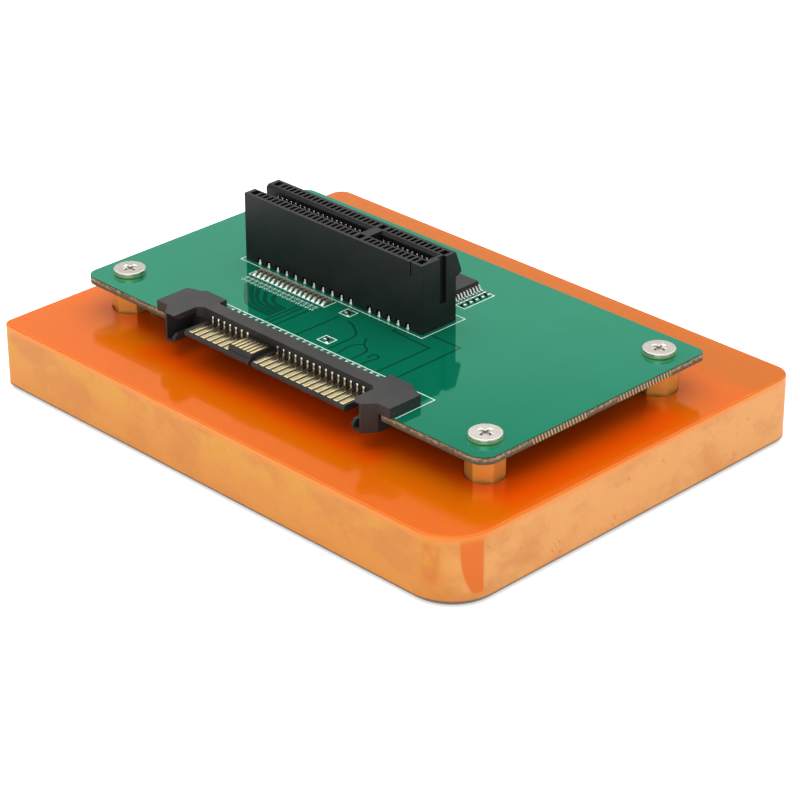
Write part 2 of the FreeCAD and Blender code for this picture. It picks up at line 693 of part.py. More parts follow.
def arm_foot_chamfer(side):
    """What is taken off the lower inner edge of one arm."""
    inner, chamfer = side * PLUG_ARM_INNER, PLUG_ARM_FOOT_CHAMFER
    outline = [
        (inner, PLUG_CORE_BOTTOM),
        (inner + side * chamfer, PLUG_CORE_BOTTOM),
        (inner, PLUG_CORE_BOTTOM + chamfer),
    ]
    return prism_along_y(outline, -PLUG_ARM_FRONT, -PLUG_BAR_FRONT)


def arm_nose_chamfer():
    """What is taken off the right arm's upper inner corner, at its front."""
    front, chamfer = -PLUG_ARM_FRONT, PLUG_ARM_NOSE_CHAMFER
    outline = [
        (PLUG_ARM_INNER, front),
        (PLUG_ARM_INNER + chamfer, front),
        (PLUG_ARM_INNER, front + chamfer),
    ]
    return plan_prism(outline, 0, PLUG_HEIGHT)


def blade_places():
    """The x of the signal blades and of the power blades."""
    signal = [SIGNAL_FIRST_X + PLUG_PITCH * i for i in range(SIGNAL_COUNT)]
    power_first = signal[-1] + POWER_GAP
    power = [power_first + PLUG_PITCH * i for i in range(POWER_COUNT)]
    return signal, power


def fine_places():
    """The x of the fine blades between the two groups."""
    first = blade_places()[0][-1] + FINE_GAP
    return [first + FINE_PITCH * i for i in range(FINE_COUNT)]


def tail_places():
    """The x of the solder tails behind the bar."""
    return [TAIL_FIRST_X + PLUG_PITCH * i for i in range(TAIL_COUNT)]


def wide_blade(x):
    """A wide contact: flat on the tongue, with its upright end against the bar's front."""
    half, leg_half = BLADE_WIDTH / 2, BLADE_LEG_WIDTH / 2
    back = -PLUG_BAR_FRONT
    flat = box(x - half, x + half, -BLADE_TIP, back, BLADE_UNDER, BLADE_TOP)
    leg = box(x - leg_half, x + leg_half, back - BLADE_THICKNESS, back, BLADE_TOP, BLADE_LEG_HEIGHT)
    return flat.fuse(leg).removeSplitter()


def fine_blade(x):
    """One fine contact on the tongue's raised part."""
    half = FINE_WIDTH / 2
    return box(x - half, x + half, -FINE_TIP, -PLUG_BAR_FRONT, FINE_UNDER, FINE_TOP)


def lower_blade(x):
    """One flat contact under the tongue."""
    half = BLADE_WIDTH / 2
    low = TONGUE_UNDER - BLADE_PROUD
    high = low + BLADE_THICKNESS
    return box(x - half, x + half, -LOWER_BLADE_TIP, -PLUG_BAR_FRONT, low, high)


def blade_grooves():
    """The seats of all blades, in the tongue and its raised part."""
    signal, power = blade_places()
    back = -PLUG_BAR_FRONT
    half = BLADE_WIDTH / 2 + BLADE_SIDE_CLEARANCE
    fine_half = FINE_WIDTH / 2 + BLADE_SIDE_CLEARANCE
    lower_top = TONGUE_UNDER - BLADE_PROUD + BLADE_THICKNESS
    cuts = []
    for x in signal + power:
        cuts.append(box(x - half, x + half, -BLADE_TIP, back, BLADE_UNDER, TONGUE_TOP))
    for x in fine_places():
        cuts.append(box(x - fine_half, x + fine_half, -FINE_TIP, back, FINE_UNDER, RIDGE_TOP))
    for x in power:
        cuts.append(box(x - half, x + half, -LOWER_BLADE_TIP, back, TONGUE_UNDER, lower_top))
    return cuts


def drive_plug_housing():
    """The moulded plug housing, with its tongue and arms."""
    sides = (-1, 1)
    body = plug_top().fuse([plug_core(), plug_tongue(), plug_ridge()])
    body = body.cut([arm_cavity(side) for side in sides]).fuse([arm_lip(side) for side in sides])
    body = body.cut([arm_foot_chamfer(side) for side in sides] + [arm_nose_chamfer()])
    return body.cut(blade_grooves() + [tongue_notch()]).removeSplitter()


def tail(x):
    """One solder tail: out of the bar's back, down and along the board."""
    back = -PLUG_BAR_BACK
    middle = TAIL_THICKNESS / 2
    exit_middle = TAIL_EXIT_HEIGHT + middle
    path = [
        (back, exit_middle),
        (back + TAIL_BEND_REACH, exit_middle),
        (back + TAIL_DROP_REACH, middle),
        (-TAIL_END, middle),
    ]
    half = TAIL_WIDTH / 2
    return prism_along_x(ribbon(path, TAIL_THICKNESS), x - half, x + half)


def tail_solder(x):
    """The solder against the end of one tail."""
    end = -TAIL_END
    half = TAIL_WIDTH / 2
    outline = [(end, 0), (end + TAIL_SOLDER_LENGTH, 0), (end, TAIL_SOLDER_HEIGHT)]
    return prism_along_x(outline, x - half, x + half)


# ---- chip -----------------------------------------------------------------------------------
def chip_body():
    """The moulded package, narrower towards its top and bottom."""
    middle = CHIP_STANDOFF + CHIP_THICKNESS / 2
    half_x, half_y = CHIP_BODY_WIDTH / 2, CHIP_BODY_LENGTH / 2
    draft = CHIP_DRAFT
    sections = []
    levels = ((CHIP_STANDOFF, draft), (middle, 0), (CHIP_STANDOFF + CHIP_THICKNESS, draft))
    for z, inset in levels:
        x, y = half_x - inset, half_y - inset
        corners = [Vector(-x, -y, z), Vector(x, -y, z), Vector(x, y, z), Vector(-x, y, z)]
        sections.append(Part.makePolygon(corners + corners[:1]))
    body = Part.makeLoft(sections, True, True)
    return body.translated(Vector(CHIP_X, CHIP_Y, 0))


def chip_lead(side, y):
    """One gull-wing lead, from the middle of the body's side to its foot."""
    root = CHIP_BODY_WIDTH / 2
    tip = CHIP_SPAN / 2
    path = [
        (root, CHIP_STANDOFF + CHIP_THICKNESS / 2),
        (root + CHIP_SHOULDER, CHIP_STANDOFF + CHIP_THICKNESS / 2),
        (tip - CHIP_FOOT, CHIP_LEAD_THICKNESS / 2),
        (tip, CHIP_LEAD_THICKNESS / 2),
    ]
    half = CHIP_LEAD_WIDTH / 2
    outline = [(CHIP_X + side * x, z) for x, z in ribbon(path, CHIP_LEAD_THICKNESS)]
    return prism_along_y(outline, y - half, y + half)


def chip_leads():
    """Both rows of leads."""
    first = CHIP_Y - CHIP_PITCH * (CHIP_LEADS_PER_SIDE - 1) / 2
    rows = [first + CHIP_PITCH * i for i in range(CHIP_LEADS_PER_SIDE)]
    return group([chip_lead(side, y) for side in (-1, 1) for y in rows])


# ---- small two-ended parts ------------------------------------------------------------------
def two_ended(x, y, size, along_x):
    """The body and both end caps of one small part of (length, width, height)."""
    length, width, height = size
    cap = length * END_CAP_SHARE
    half = length / 2
    rim = width / 2
    low, high = END_CAP_PROUD, height - END_CAP_PROUD
    body = box(cap - half, half - cap, -rim, rim, low, high)
    caps = [box(side * half, side * (half - cap), -rim, rim, 0, height) for side in (-1, 1)]
    turn = 0 if along_x else 90
    placed = []
    for shape in [body] + caps:
        turned_shape = shape.rotated(Vector(0, 0, 0), Vector(0, 0, 1), turn)
        placed.append(turned_shape.translated(Vector(x, y, 0)))
    return placed[0], placed[1:]


def row_capacitors():
    """The row of capacitors in front of the slot."""
    size = (CAPACITOR_LENGTH, CAPACITOR_WIDTH, CAPACITOR_HEIGHT)
    places = [CAPACITOR_FIRST_X + CAPACITOR_PITCH * i for i in range(CAPACITOR_COUNT)]
    return [two_ended(x, CAPACITOR_Y, size, False) for x in places]


def resistors():
    """The resistors beside the chip and the two between slot and plug."""
    size = (RESISTOR_LENGTH, RESISTOR_WIDTH, RESISTOR_HEIGHT)
    x = CHIP_X + CHIP_SPAN / 2 + CHIP_RESISTOR_GAP + RESISTOR_LENGTH / 2
    back_y = CHIP_Y + CHIP_BODY_LENGTH / 2 - CHIP_RESISTOR_INSET
    beside_chip = [
        two_ended(x, back_y - CHIP_RESISTOR_PITCH * i, size, True)
        for i in range(CHIP_RESISTOR_COUNT)
    ]
    loose = [two_ended(place[0], place[1], size, False) for place in LOOSE_RESISTORS]
    return beside_chip + loose


def bodies_of(parts):
    """The bodies of a list of two-ended parts."""
    return group([body for body, caps in parts])


def caps_of(parts):
    """The end caps of a list of two-ended parts."""
    return group([cap for body, caps in parts for cap in caps])


# ---- all nodes ------------------------------------------------------------------------------
def build():
    """Every node of the part by name, in the part's frame."""
    signal, power = blade_places()
    nodes = {"base_plate": base_plate()}
    on_the_board = {"circuit_board": circuit_board()}
    for name, (x, y) in screw_places().items():
        on_the_board["standoff_" + name] = standoff(x, y)
        on_the_board["board_screw_" + name] = board_screw(x, y)
    on_the_board["card_slot_housing"] = card_slot_housing()
    on_the_board["card_slot_contacts_front"] = slot_contacts(-1)
    on_the_board["card_slot_contacts_back"] = slot_contacts(1)
    on_the_board["card_slot_top_joints"] = slot_top_joints()
    on_the_board["card_slot_bottom_joints"] = slot_bottom_joints()
    at_the_edge = {
        "drive_plug_housing": drive_plug_housing(),
        "signal_blades": group([wide_blade(x) for x in signal]),
        "power_blades": group([wide_blade(x) for x in power]),
        "fine_blades": group([fine_blade(x) for x in fine_places()]),
        "lower_blades": group([lower_blade(x) for x in power]),
        "drive_plug_tails": group([tail(x) for x in tail_places()]),
        "drive_plug_tail_solder": group([tail_solder(x) for x in tail_places()]),
    }
    for name, shape in at_the_edge.items():
        on_the_board[name] = at_board_edge(shape)
    on_the_board["chip_body"] = chip_body()
    on_the_board["chip_leads"] = chip_leads()
    on_the_board["capacitor_bodies"] = bodies_of(row_capacitors())
    on_the_board["capacitor_end_caps"] = caps_of(row_capacitors())
    on_the_board["resistor_bodies"] = bodies_of(resistors())
    on_the_board["resistor_end_caps"] = caps_of(resistors())
    for name, shape in on_the_board.items():
        nodes[name] = on_board(shape)
    return nodes


os.makedirs("parts", exist_ok=True)
for node, shape in build().items():
    shape.exportStep("parts/" + node + ".step")
    print(node, "valid" if shape.isValid() else "NOT VALID", len(shape.Solids), round(shape.Volume, 3))
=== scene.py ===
"""Dresses the adapter card: finishes, softened edges, printed lines, copper runs and the studio.

Sizes inside the classes are in millimetres and in the board's own frame, whose origin is the
middle of the board's top face.  Finished pieces are in metres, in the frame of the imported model.
"""
import enum
import logging
import math
from dataclasses import dataclass, field
from typing import Iterable, Sequence

import bmesh
import bpy
from mathutils import Matrix, Vector


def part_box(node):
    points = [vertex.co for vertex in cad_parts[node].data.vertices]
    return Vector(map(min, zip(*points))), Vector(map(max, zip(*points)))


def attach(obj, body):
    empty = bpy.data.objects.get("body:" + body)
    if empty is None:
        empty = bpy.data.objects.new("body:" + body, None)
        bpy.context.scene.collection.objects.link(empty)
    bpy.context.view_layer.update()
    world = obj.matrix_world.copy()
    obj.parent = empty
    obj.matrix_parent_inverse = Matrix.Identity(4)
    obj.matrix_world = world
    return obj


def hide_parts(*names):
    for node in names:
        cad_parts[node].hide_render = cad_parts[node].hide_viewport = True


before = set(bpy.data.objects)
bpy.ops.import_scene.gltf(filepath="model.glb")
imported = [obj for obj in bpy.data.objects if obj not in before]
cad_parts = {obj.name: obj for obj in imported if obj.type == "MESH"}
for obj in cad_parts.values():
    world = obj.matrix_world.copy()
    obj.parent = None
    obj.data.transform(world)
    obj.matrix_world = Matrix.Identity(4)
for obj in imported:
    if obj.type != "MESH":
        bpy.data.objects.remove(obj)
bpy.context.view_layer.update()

MM = 0.001
BODY = "root"
LOG = logging.getLogger("adapter_card")

# How close points are merged, in millimetres, and how far flat faces may turn, in degrees.
SAME_POINT = 0.0008
POLE_WELD = 0.0005
SAME_PLANE = 0.4

Point2 = tuple[float, float]
Point3 = tuple[float, float, float]
Colour = tuple[float, float, float]


class Look(enum.Enum):
    """The record's material slots, passed along with the new pieces but not read."""

    BASE = "base_acrylic"
    BOARD = "board_mask"
    BRASS = "brass_standoff"
    NICKEL = "screw_nickel"
    SLOT = "slot_plastic"
    SPRING = "spring_plating"
    PLUG = "plug_plastic"
    GOLD = "contact_gold"
    SOLDER = "solder"
    TIN = "tinned_lead"
    CHIP = "chip_plastic"
    CAPACITOR = "capacitor_ceramic"
    RESISTOR = "resistor_ceramic"


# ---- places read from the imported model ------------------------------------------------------
@dataclass(frozen=True)
class Span:
    """The box of one node, in millimetres, in the board's frame."""

    low: Vector
    high: Vector

    @property
    def size(self) -> Vector:
        """The three sides of the box."""
        return self.high - self.low


class BoardFrame:
    """The board's own frame: origin at the middle of its top face."""

    def __init__(self, node: str) -> None:
        """Reads the board's place.

        Args:
            node: the name of the board's node.
        """
        low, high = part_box(node)
        self.origin = Vector(((low.x + high.x) / 2, (low.y + high.y) / 2, high.z))
        self.node = node

    def span(self, node: str) -> Span:
        """Gives a node's box in this frame.

        Args:
            node: the name of the node.

        Returns:
            The box, in millimetres.
        """
        low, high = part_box(node)
        return Span((low - self.origin) / MM, (high - self.origin) / MM)

    def to_world(self) -> Matrix:
        """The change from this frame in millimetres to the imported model's in metres."""
        return Matrix.Translation(self.origin) @ Matrix.Scale(MM, 4)


BOARD = BoardFrame("circuit_board")


# ---- shaping --------------------------------------------------------------------------------
@dataclass(frozen=True)
class EdgeBreak:
    """How the edges of a piece are softened."""

    width: float
    segments: int = 2
    sharper_than: float = 28.0


class Workpiece:
    """A mesh being shaped in the board's frame, which ends as an object in metres."""

    def __init__(self) -> None:
        """Starts with nothing in it."""
        self.form = bmesh.new()

    @classmethod
    def from_node(cls, node: str) -> "Workpiece":
        """Starts from a merged copy of a node's mesh.

        Args:
            node: the name of the node.

        Returns:
            The copy, with its flat faces whole again.
        """
        piece = cls()
        form = piece.form
        form.from_mesh(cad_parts[node].data)
        form.transform(BOARD.to_world().inverted())
        bmesh.ops.remove_doubles(form, verts=form.verts, dist=SAME_POINT)
        bmesh.ops.dissolve_limit(
            form, angle_limit=math.radians(SAME_PLANE), verts=form.verts, edges=form.edges)
        bmesh.ops.recalc_face_normals(form, faces=form.faces)
        return piece

    def fillet(
        self, x: float, half: float, wall: float, toe: float, height: float,
        belly: Point2 = (0.45, 0.42), narrowing: float = 0.86,
    ) -> None:
        """Adds a wedge of solder against the end of a part.

        Args:
            x: its middle.
            half: half its width.
            wall: the y of the part's end.
            toe: the y where the solder runs out.
            height: how high it stands against the part.
            belly: where its hollow face bends, as shares of its reach and height.
            narrowing: its width over the board, as a share of that on the board.
        """
        bend = (wall + belly[0] * (toe - wall), belly[1] * height)
        hollow = ((wall, 0.0), (toe, 0.0), bend, (wall, height))
        sides = []
        for share in (-1.0, 1.0):
            sides.append([
                self.form.verts.new((x + share * half * (1.0 if z == 0.0 else narrowing), y, z))
                for y, z in hollow])
        left, right = sides
        self.form.faces.new(left)
        self.form.faces.new(right)
        for i in range(len(hollow)):
            j = (i + 1) % len(hollow)
            self.form.faces.new((left[i], left[j], right[j], right[i]))

    def lathe(self, profile: Sequence[Point2], x: float, y: float, steps: int) -> None:
        """Adds a piece turned about an upright axis.

        Args:
            profile: (radius, height) points, from the lowest on the axis to the highest on it.
            x: the axis.
            y: the axis.
            steps: how many faces go round.
        """
        form = self.form
        verts = [form.verts.new((x + r, y, z)) for r, z in profile]
        edges = [form.edges.new(pair) for pair in zip(verts, verts[1:])]
        made = bmesh.ops.spin(
            form, geom=verts + edges, cent=(x, y, 0), axis=(0, 0, 1), angle=math.tau,
            steps=steps, use_merge=True, use_duplicate=False)
        seam = {v for e in form.edges if e.is_boundary or e.is_wire for v in e.verts}
        seam |= {v for v in made["geom_last"] if isinstance(v, bmesh.types.BMVert)}
        seam |= set(verts)
        bmesh.ops.remove_doubles(form, verts=[v for v in seam if v.is_valid], dist=POLE_WELD)

    def soften(self, edge: EdgeBreak) -> None:
        """Rounds the edges where two faces meet at more than an angle.

        Args:
            edge: width, segments and angle.
        """
        limit = math.radians(edge.sharper_than)
        sharp = [e for e in self.form.edges if e.is_manifold and e.calc_face_angle(0.0) > limit]
        bmesh.ops.bevel(
            self.form, geom=sharp, offset=edge.width, offset_type="OFFSET",
            segments=edge.segments, profile=0.5, affect="EDGES", clamp_overlap=True, material=-1)

    def finish(
        self, name: str, finish: bpy.types.Material, look: Look,
        replaces: Iterable[str] = (), smooth_below: float = 40.0,
    ) -> bpy.types.Object:
        """Turns the mesh into an object that rides on the card.

        Args:
            name: the object's name.
            finish: its material.
            look: not used.
            replaces: the nodes that it stands for.
            smooth_below: the angle, in degrees, over which an edge is shaded sharp.

        Returns:
            The object, in metres, at the origin.
        """
        form = self.form
        form.transform(BOARD.to_world())
        bmesh.ops.recalc_face_normals(form, faces=form.faces)
        limit = math.radians(smooth_below)
        for face in form.faces:
            face.smooth = True
        for edge in form.edges:
            edge.smooth = edge.is_manifold and edge.calc_face_angle(0.0) < limit
        mesh = bpy.data.meshes.new(name)
        form.to_mesh(mesh)
        form.free()
        return place_mesh(mesh, name, finish, replaces)


def place_mesh(
    mesh: bpy.types.Mesh, name: str, finish: bpy.types.Material,
    replaces: Iterable[str] = (),
) -> bpy.types.Object:
    """Makes an object from a finished mesh and lets it ride on the card.

    Args:
        mesh: the mesh, in metres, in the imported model's frame.
        name: the object's name.
        finish: its material.
        replaces: the nodes that it stands for.

    Returns:
        The object.
    """
    mesh.materials.clear()
    mesh.materials.append(finish)
    piece = bpy.data.objects.new(name, mesh)
    bpy.context.scene.collection.objects.link(piece)
    even = piece.modifiers.new("even_normals", "WEIGHTED_NORMAL")
    even.keep_sharp = True
    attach(piece, BODY)
    nodes = list(replaces)
    if nodes:
        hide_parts(*nodes)
    LOG.info("%s: %d faces", name, len(mesh.polygons))
    return piece


# ---- finishes -------------------------------------------------------------------------------
class Shader:
    """A short way to write a node material."""

    def __init__(self, name: str) -> None:
        """Makes the material with its surface shader.

        Args:
            name: the material's name.
        """
        self.material = bpy.data.materials.new(name)
        self.material.use_nodes = True
        self.tree = self.material.node_tree
        self.surface = self.tree.nodes["Principled BSDF"]
        self.place = self.add("ShaderNodeTexCoord").outputs["Object"]

    def add(self, kind: str, **settings: object) -> bpy.types.Node:
        """Adds a node.

        Args:
            kind: the node's type.
            settings: properties of the node, by name.

        Returns:
            The node.
        """
        node = self.tree.nodes.new(kind)
        for key, value in settings.items():
            setattr(node, key, value)
        return node

    def feed(self, socket: bpy.types.NodeSocket, value: object) -> None:
        """Links a socket to another, or sets its value.

        Args:
            socket: the input.
            value: an output to link, or a number, vector or colour.
        """
        if isinstance(value, bpy.types.NodeSocket):
            self.tree.links.new(value, socket)
        elif isinstance(value, tuple) and len(value) == 3 and socket.type == "RGBA":
            socket.default_value = (*value, 1.0)
        else:
            socket.default_value = value

    def math(
        self, operation: str, a: object, b: object = 0.0, c: object = 0.0,
    ) -> bpy.types.NodeSocket:
        """Adds a sum on numbers.

        Args:
            operation: the node's operation.
            a: first number or output.
            b: second number or output.
            c: third number or output.

        Returns:
            The result's output.
        """
        node = self.add("ShaderNodeMath", operation=operation)
        for socket, value in zip(node.inputs, (a, b, c)):
            self.feed(socket, value)
        return node.outputs[0]

    def ramp(self, value: object, low: float, high: float) -> bpy.types.NodeSocket:
        """A smooth step from 0 at one value to 1 at another.

        Args:
            value: the output that is read.
            low: where the result is 0.
            high: where the result is 1.

        Returns:
            The result's output.
        """
        node = self.add("ShaderNodeMapRange", interpolation_type="SMOOTHSTEP")
        self.feed(node.inputs["Value"], value)
        self.feed(node.inputs["From Min"], low)
        self.feed(node.inputs["From Max"], high)
        return node.outputs["Result"]

    def blend(self, share: object, a: object, b: object) -> bpy.types.NodeSocket:
        """Mixes two colours.

        Args:
            share: how much of the second colour.
            a: first colour or output.
            b: second colour or output.

        Returns:
            The mixed colour's output.
        """
        node = self.add("ShaderNodeMix", data_type="RGBA")
        self.feed(node.inputs[0], share)
        self.feed(node.inputs[6], a)
        self.feed(node.inputs[7], b)
        return node.outputs[2]

    def between(self, share: object, a: float, b: float) -> bpy.types.NodeSocket:
        """A number between two others.

        Args:
            share: how far towards the second number.
            a: first number.
            b: second number.

        Returns:
            The number's output.
        """
        return self.math("MULTIPLY_ADD", share, b - a, a)

    def stretched(self, scale: Sequence[float]) -> bpy.types.NodeSocket:
        """The object's coordinates, stretched.

        Args:
            scale: the factor along each axis.

        Returns:
            The stretched coordinates.
        """
        node = self.add("ShaderNodeMapping")
        self.feed(node.inputs["Vector"], self.place)
        self.feed(node.inputs["Scale"], tuple(scale))
        return node.outputs["Vector"]

    def noise(
        self, scale: float, detail: float = 3.0, roughness: float = 0.55,
        stretch: Sequence[float] = (1.0, 1.0, 1.0), vector: bpy.types.NodeSocket | None = None,
    ) -> bpy.types.NodeSocket:
        """A cloudy pattern.

        Args:
            scale: how fine it is, per metre.
            detail: how many finer layers it has.
            roughness: how strong they are.
            stretch: the factor along each axis.
            vector: other coordinates than the stretched ones.

        Returns:
            The pattern, from 0 to 1.
        """
        node = self.add("ShaderNodeTexNoise")
        self.feed(node.inputs["Vector"], vector or self.stretched(stretch))
        self.feed(node.inputs["Scale"], scale)
        self.feed(node.inputs["Detail"], detail)
        self.feed(node.inputs["Roughness"], roughness)
        return node.outputs["Fac"]

    def parts(self, vector: bpy.types.NodeSocket) -> tuple:
        """The three numbers of a vector.

        Args:
            vector: the vector's output.

        Returns:
            The outputs of X, Y and Z.
        """
        node = self.add("ShaderNodeSeparateXYZ")
        self.feed(node.inputs[0], vector)
        return tuple(node.outputs)

    def spot(self) -> tuple:
        """The place on the board: x, y and height over its top face, in millimetres."""
        node = self.add("ShaderNodeVectorMath", operation="SUBTRACT")
        self.feed(node.inputs[0], self.place)
        self.feed(node.inputs[1], tuple(BOARD.origin))
        return tuple(self.math("DIVIDE", part, MM) for part in self.parts(node.outputs[0]))

    def both(self, *shares: bpy.types.NodeSocket) -> bpy.types.NodeSocket:
        """The product of several shares.

        Args:
            shares: outputs from 0 to 1.

        Returns:
            The product's output.
        """
        product = shares[0]
        for share in shares[1:]:
            product = self.math("MULTIPLY", product, share)
        return product

    def facing(self) -> tuple:
        """The three numbers of the surface's normal."""
        return self.parts(self.add("ShaderNodeNewGeometry").outputs["Normal"])

    def bump(self, height: bpy.types.NodeSocket, strength: object, distance: float) -> None:
        """Gives the surface a relief.

        Args:
            height: the relief.
            strength: how much of it shows.
            distance: its depth in metres.
        """
        node = self.add("ShaderNodeBump")
        self.feed(node.inputs["Height"], height)
        self.feed(node.inputs["Strength"], strength)
        self.feed(node.inputs["Distance"], distance)
        self.feed(self.surface.inputs["Normal"], node.outputs["Normal"])

    def set(self, **values: object) -> bpy.types.Material:
        """Sets the surface's own sockets.

        Args:
            values: socket names, with underscores for spaces.

        Returns:
            The material.
        """
        for key, value in values.items():
            self.feed(self.surface.inputs[key.replace("_", " ")], value)
        return self.material


@dataclass(frozen=True)
class CastResin:
    """The base plate: polished top, hazy sawn sides and one polished corner with a clear streak,
    with painted shade under the card, a painted contact shadow at the bottom, painted light on the
    side facing +x and painted shade where the sides turn towards the back.

    Heights on the sides are shares of the plate's height, and places on its top are in
    millimetres in the board's frame.
    """

    clear: Colour = (0.775, 0.146, 0.0005)
    # painted shade: the dark red the resin shows in the card's shadow
    under_card_shade: Colour = (0.96, 0.095, 0.0003)
    far_strip: Colour = (0.63, 0.148, 0.001)
    rim: Colour = (0.68, 0.215, 0.022)
    near_side: Colour = (0.605, 0.228, 0.026)
    honey: Colour = (0.60, 0.27, 0.022)
    # painted light: the side facing +x, lighter and paler
    lit_right_side: Colour = (0.66, 0.295, 0.077)
    # painted shade where the sides turn towards the back
    turned: Colour = (0.66, 0.225, 0.04)
    dull_and_shade: Colour = (0.50, 0.165, 0.022)
    streak: Colour = (0.62, 0.13, 0.0005)
    blush: Colour = (0.54, 0.15, 0.02)
    # painted contact shadow along the bottom of the sides
    foot: Colour = (0.09, 0.065, 0.045)
    under_card_shade_parts: tuple[tuple[Point2, Point2], ...] = (
        ((5.4, 41.4), (-4.2, 18.4)), ((0.0, 25.0), (-22.0, 5.6)))
    under_card_shade_fade: float = 2.4
    far_from: Point2 = (24.0, 29.0)
    height: float = 10.8
    rim_height: float = 1.3
    contact_shadow_band: Point2 = (0.10, 0.066)
    honey_heights: Point2 = (0.35, 0.75)
    honey_share: float = 0.7
    dull_and_shade_share: float = 0.55
    mark_share: float = 0.8
    blush_share: float = 0.8
    cloud_scale: float = 120.0
    fine_scale: float = 1500.0
    scratch_scale: float = 1900.0
    scratch_lean: float = 0.8
    scratch_stretch: Point2 = (-0.16, 0.2)
    relief: float = 0.00012
    polish: float = 0.10
    sawn: float = 0.45
    mirror: float = 0.2
    glow: float = 0.3
    bleed: Colour = (1.0, 0.16, 0.03)
    bleed_depth: float = 0.004

    def corner(
        self, shader: Shader, nx: object, ny: object, level: object,
    ) -> tuple[bpy.types.NodeSocket, bpy.types.NodeSocket]:
        """The streak and the blush of the polished front corner.

        Args:
            shader: the material being built.
            nx: the normal's x.
            ny: the normal's y.
            level: the height over the foot, from 0 to 1.

        Returns:
            How much of the clear streak and of the blush shows.
        """
        front = shader.ramp(ny, -0.02, -0.06)
        low = shader.math("SUBTRACT", 1.0, level)
        left = shader.math("MULTIPLY_ADD", shader.math("POWER", low, 3.0), 0.22, 0.785)
        from_left = shader.ramp(shader.math("SUBTRACT", nx, left), -0.01, 0.025)
        streak = shader.both(
            front, from_left, shader.ramp(nx, 0.985, 0.977), shader.ramp(level, 0.13, 0.2))
        cloud = shader.noise(420.0, 3.0, 0.6, (1.0, 1.0, 0.4))
        blush = shader.both(
            front, shader.ramp(nx, 0.12, 0.26), shader.ramp(nx, 0.60, 0.46),
            shader.ramp(level, 0.22, 0.4), shader.ramp(level, 0.95, 0.8),
            shader.ramp(cloud, 0.3, 0.6))
        return streak, shader.math("MULTIPLY", blush, self.blush_share)

    def scratches(self, shader: Shader) -> bpy.types.NodeSocket:
        """The short slanting marks of the saw.

        Args:
            shader: the material being built.

        Returns:
            The pattern, from 0 to 1.
        """
        x, y, z = shader.parts(shader.place)
        along = shader.math("ADD", x, y)
        slant = shader.add("ShaderNodeCombineXYZ")
        shader.feed(slant.inputs[0], shader.math("MULTIPLY_ADD", z, self.scratch_lean, along))
        by_length, by_height = self.scratch_stretch
        shader.feed(slant.inputs[1], shader.math(
            "MULTIPLY_ADD", along, by_length, shader.math("MULTIPLY", z, by_height)))
        return shader.noise(self.scratch_scale, 2.0, 0.5, vector=slant.outputs[0])

    def sides(
        self, shader: Shader, nx: object, ny: object, level: object, scratch: object,
    ) -> tuple[bpy.types.NodeSocket, bpy.types.NodeSocket]:
        """The colour of the sawn sides, with painted light on the side facing +x and painted shade
        where they turn towards the back.

        Args:
            shader: the material being built.
            nx: the normal's x.
            ny: the normal's y.
            level: the height over the foot, from 0 to 1.
            scratch: the marks of the saw.

        Returns:
            The colour, and how much of the polished streak shows.
        """
        cloud = shader.noise(self.cloud_scale, 4.0, 0.6, (1.0, 1.0, 1.6))
        sunny = shader.both(
            shader.ramp(level, *self.honey_heights), shader.ramp(cloud, 0.56, 0.44))
        side = shader.blend(
            shader.math("MULTIPLY", sunny, self.honey_share), self.near_side, self.honey)
        # painted light: the sides turn lighter and paler where they face +x
        side = shader.blend(shader.ramp(nx, 0.3, 0.9), side, self.lit_right_side)
        patches = shader.math("MULTIPLY", shader.ramp(cloud, 0.42, 0.68), self.dull_and_shade_share)
        side = shader.blend(patches, side, self.dull_and_shade)
        marks = shader.both(
            shader.ramp(scratch, 0.62, 0.70), shader.ramp(shader.noise(260.0, 2.0), 0.45, 0.6))
        side = shader.blend(shader.math("MULTIPLY", marks, self.mark_share), side, self.dull_and_shade)
        streak, blush = self.corner(shader, nx, ny, level)
        side = shader.blend(blush, side, self.blush)
        side = shader.blend(streak, side, self.streak)
        # painted shade where the sides turn towards the back
        turned = shader.both(shader.ramp(ny, 0.12, 0.22), shader.ramp(nx, 0.3, 0.5))
        return shader.blend(turned, side, self.turned), streak

    def top(self, shader: Shader) -> bpy.types.NodeSocket:
        """The colour of the polished top: painted shade in dark red under the card and the plug,
        duller along the far edge.

        Args:
            shader: the material being built.

        Returns:
            The colour.
        """
        spot = shader.spot()
        fade = self.under_card_shade_fade
        # painted shade: how far a point lies inside the shadow boxes of the card and the plug
        under_card_share = [
            shader.both(*(
                shader.ramp(
                    shader.math("ABSOLUTE", shader.math("SUBTRACT", part, middle)),
                    reach + fade, reach - fade)
                for part, (middle, reach) in zip(spot, boxes)))
            for boxes in self.under_card_shade_parts]
        upper = shader.blend(shader.math("MAXIMUM", *under_card_share), self.clear, self.under_card_shade)
        return shader.blend(shader.ramp(spot[1], *self.far_from), upper, self.far_strip)

    def material(self) -> bpy.types.Material:
        """Builds the material.

        Returns:
            The material.
        """
        shader = Shader("cast_resin")
        nx, ny, nz = shader.facing()
        level = shader.math("DIVIDE", shader.parts(shader.place)[2], self.height * MM)
        upright = shader.ramp(shader.math("ABSOLUTE", nz), 0.9, 0.5)
        edge = self.rim_height / self.height
        hazy = shader.both(upright, shader.ramp(level, 1.0 - 0.25 * edge, 1.0 - 1.1 * edge))
        scratch = self.scratches(shader)
        side, streak = self.sides(shader, nx, ny, level, scratch)
        upper = shader.blend(upright, self.top(shader), self.rim)
        colour = shader.blend(hazy, upper, side)
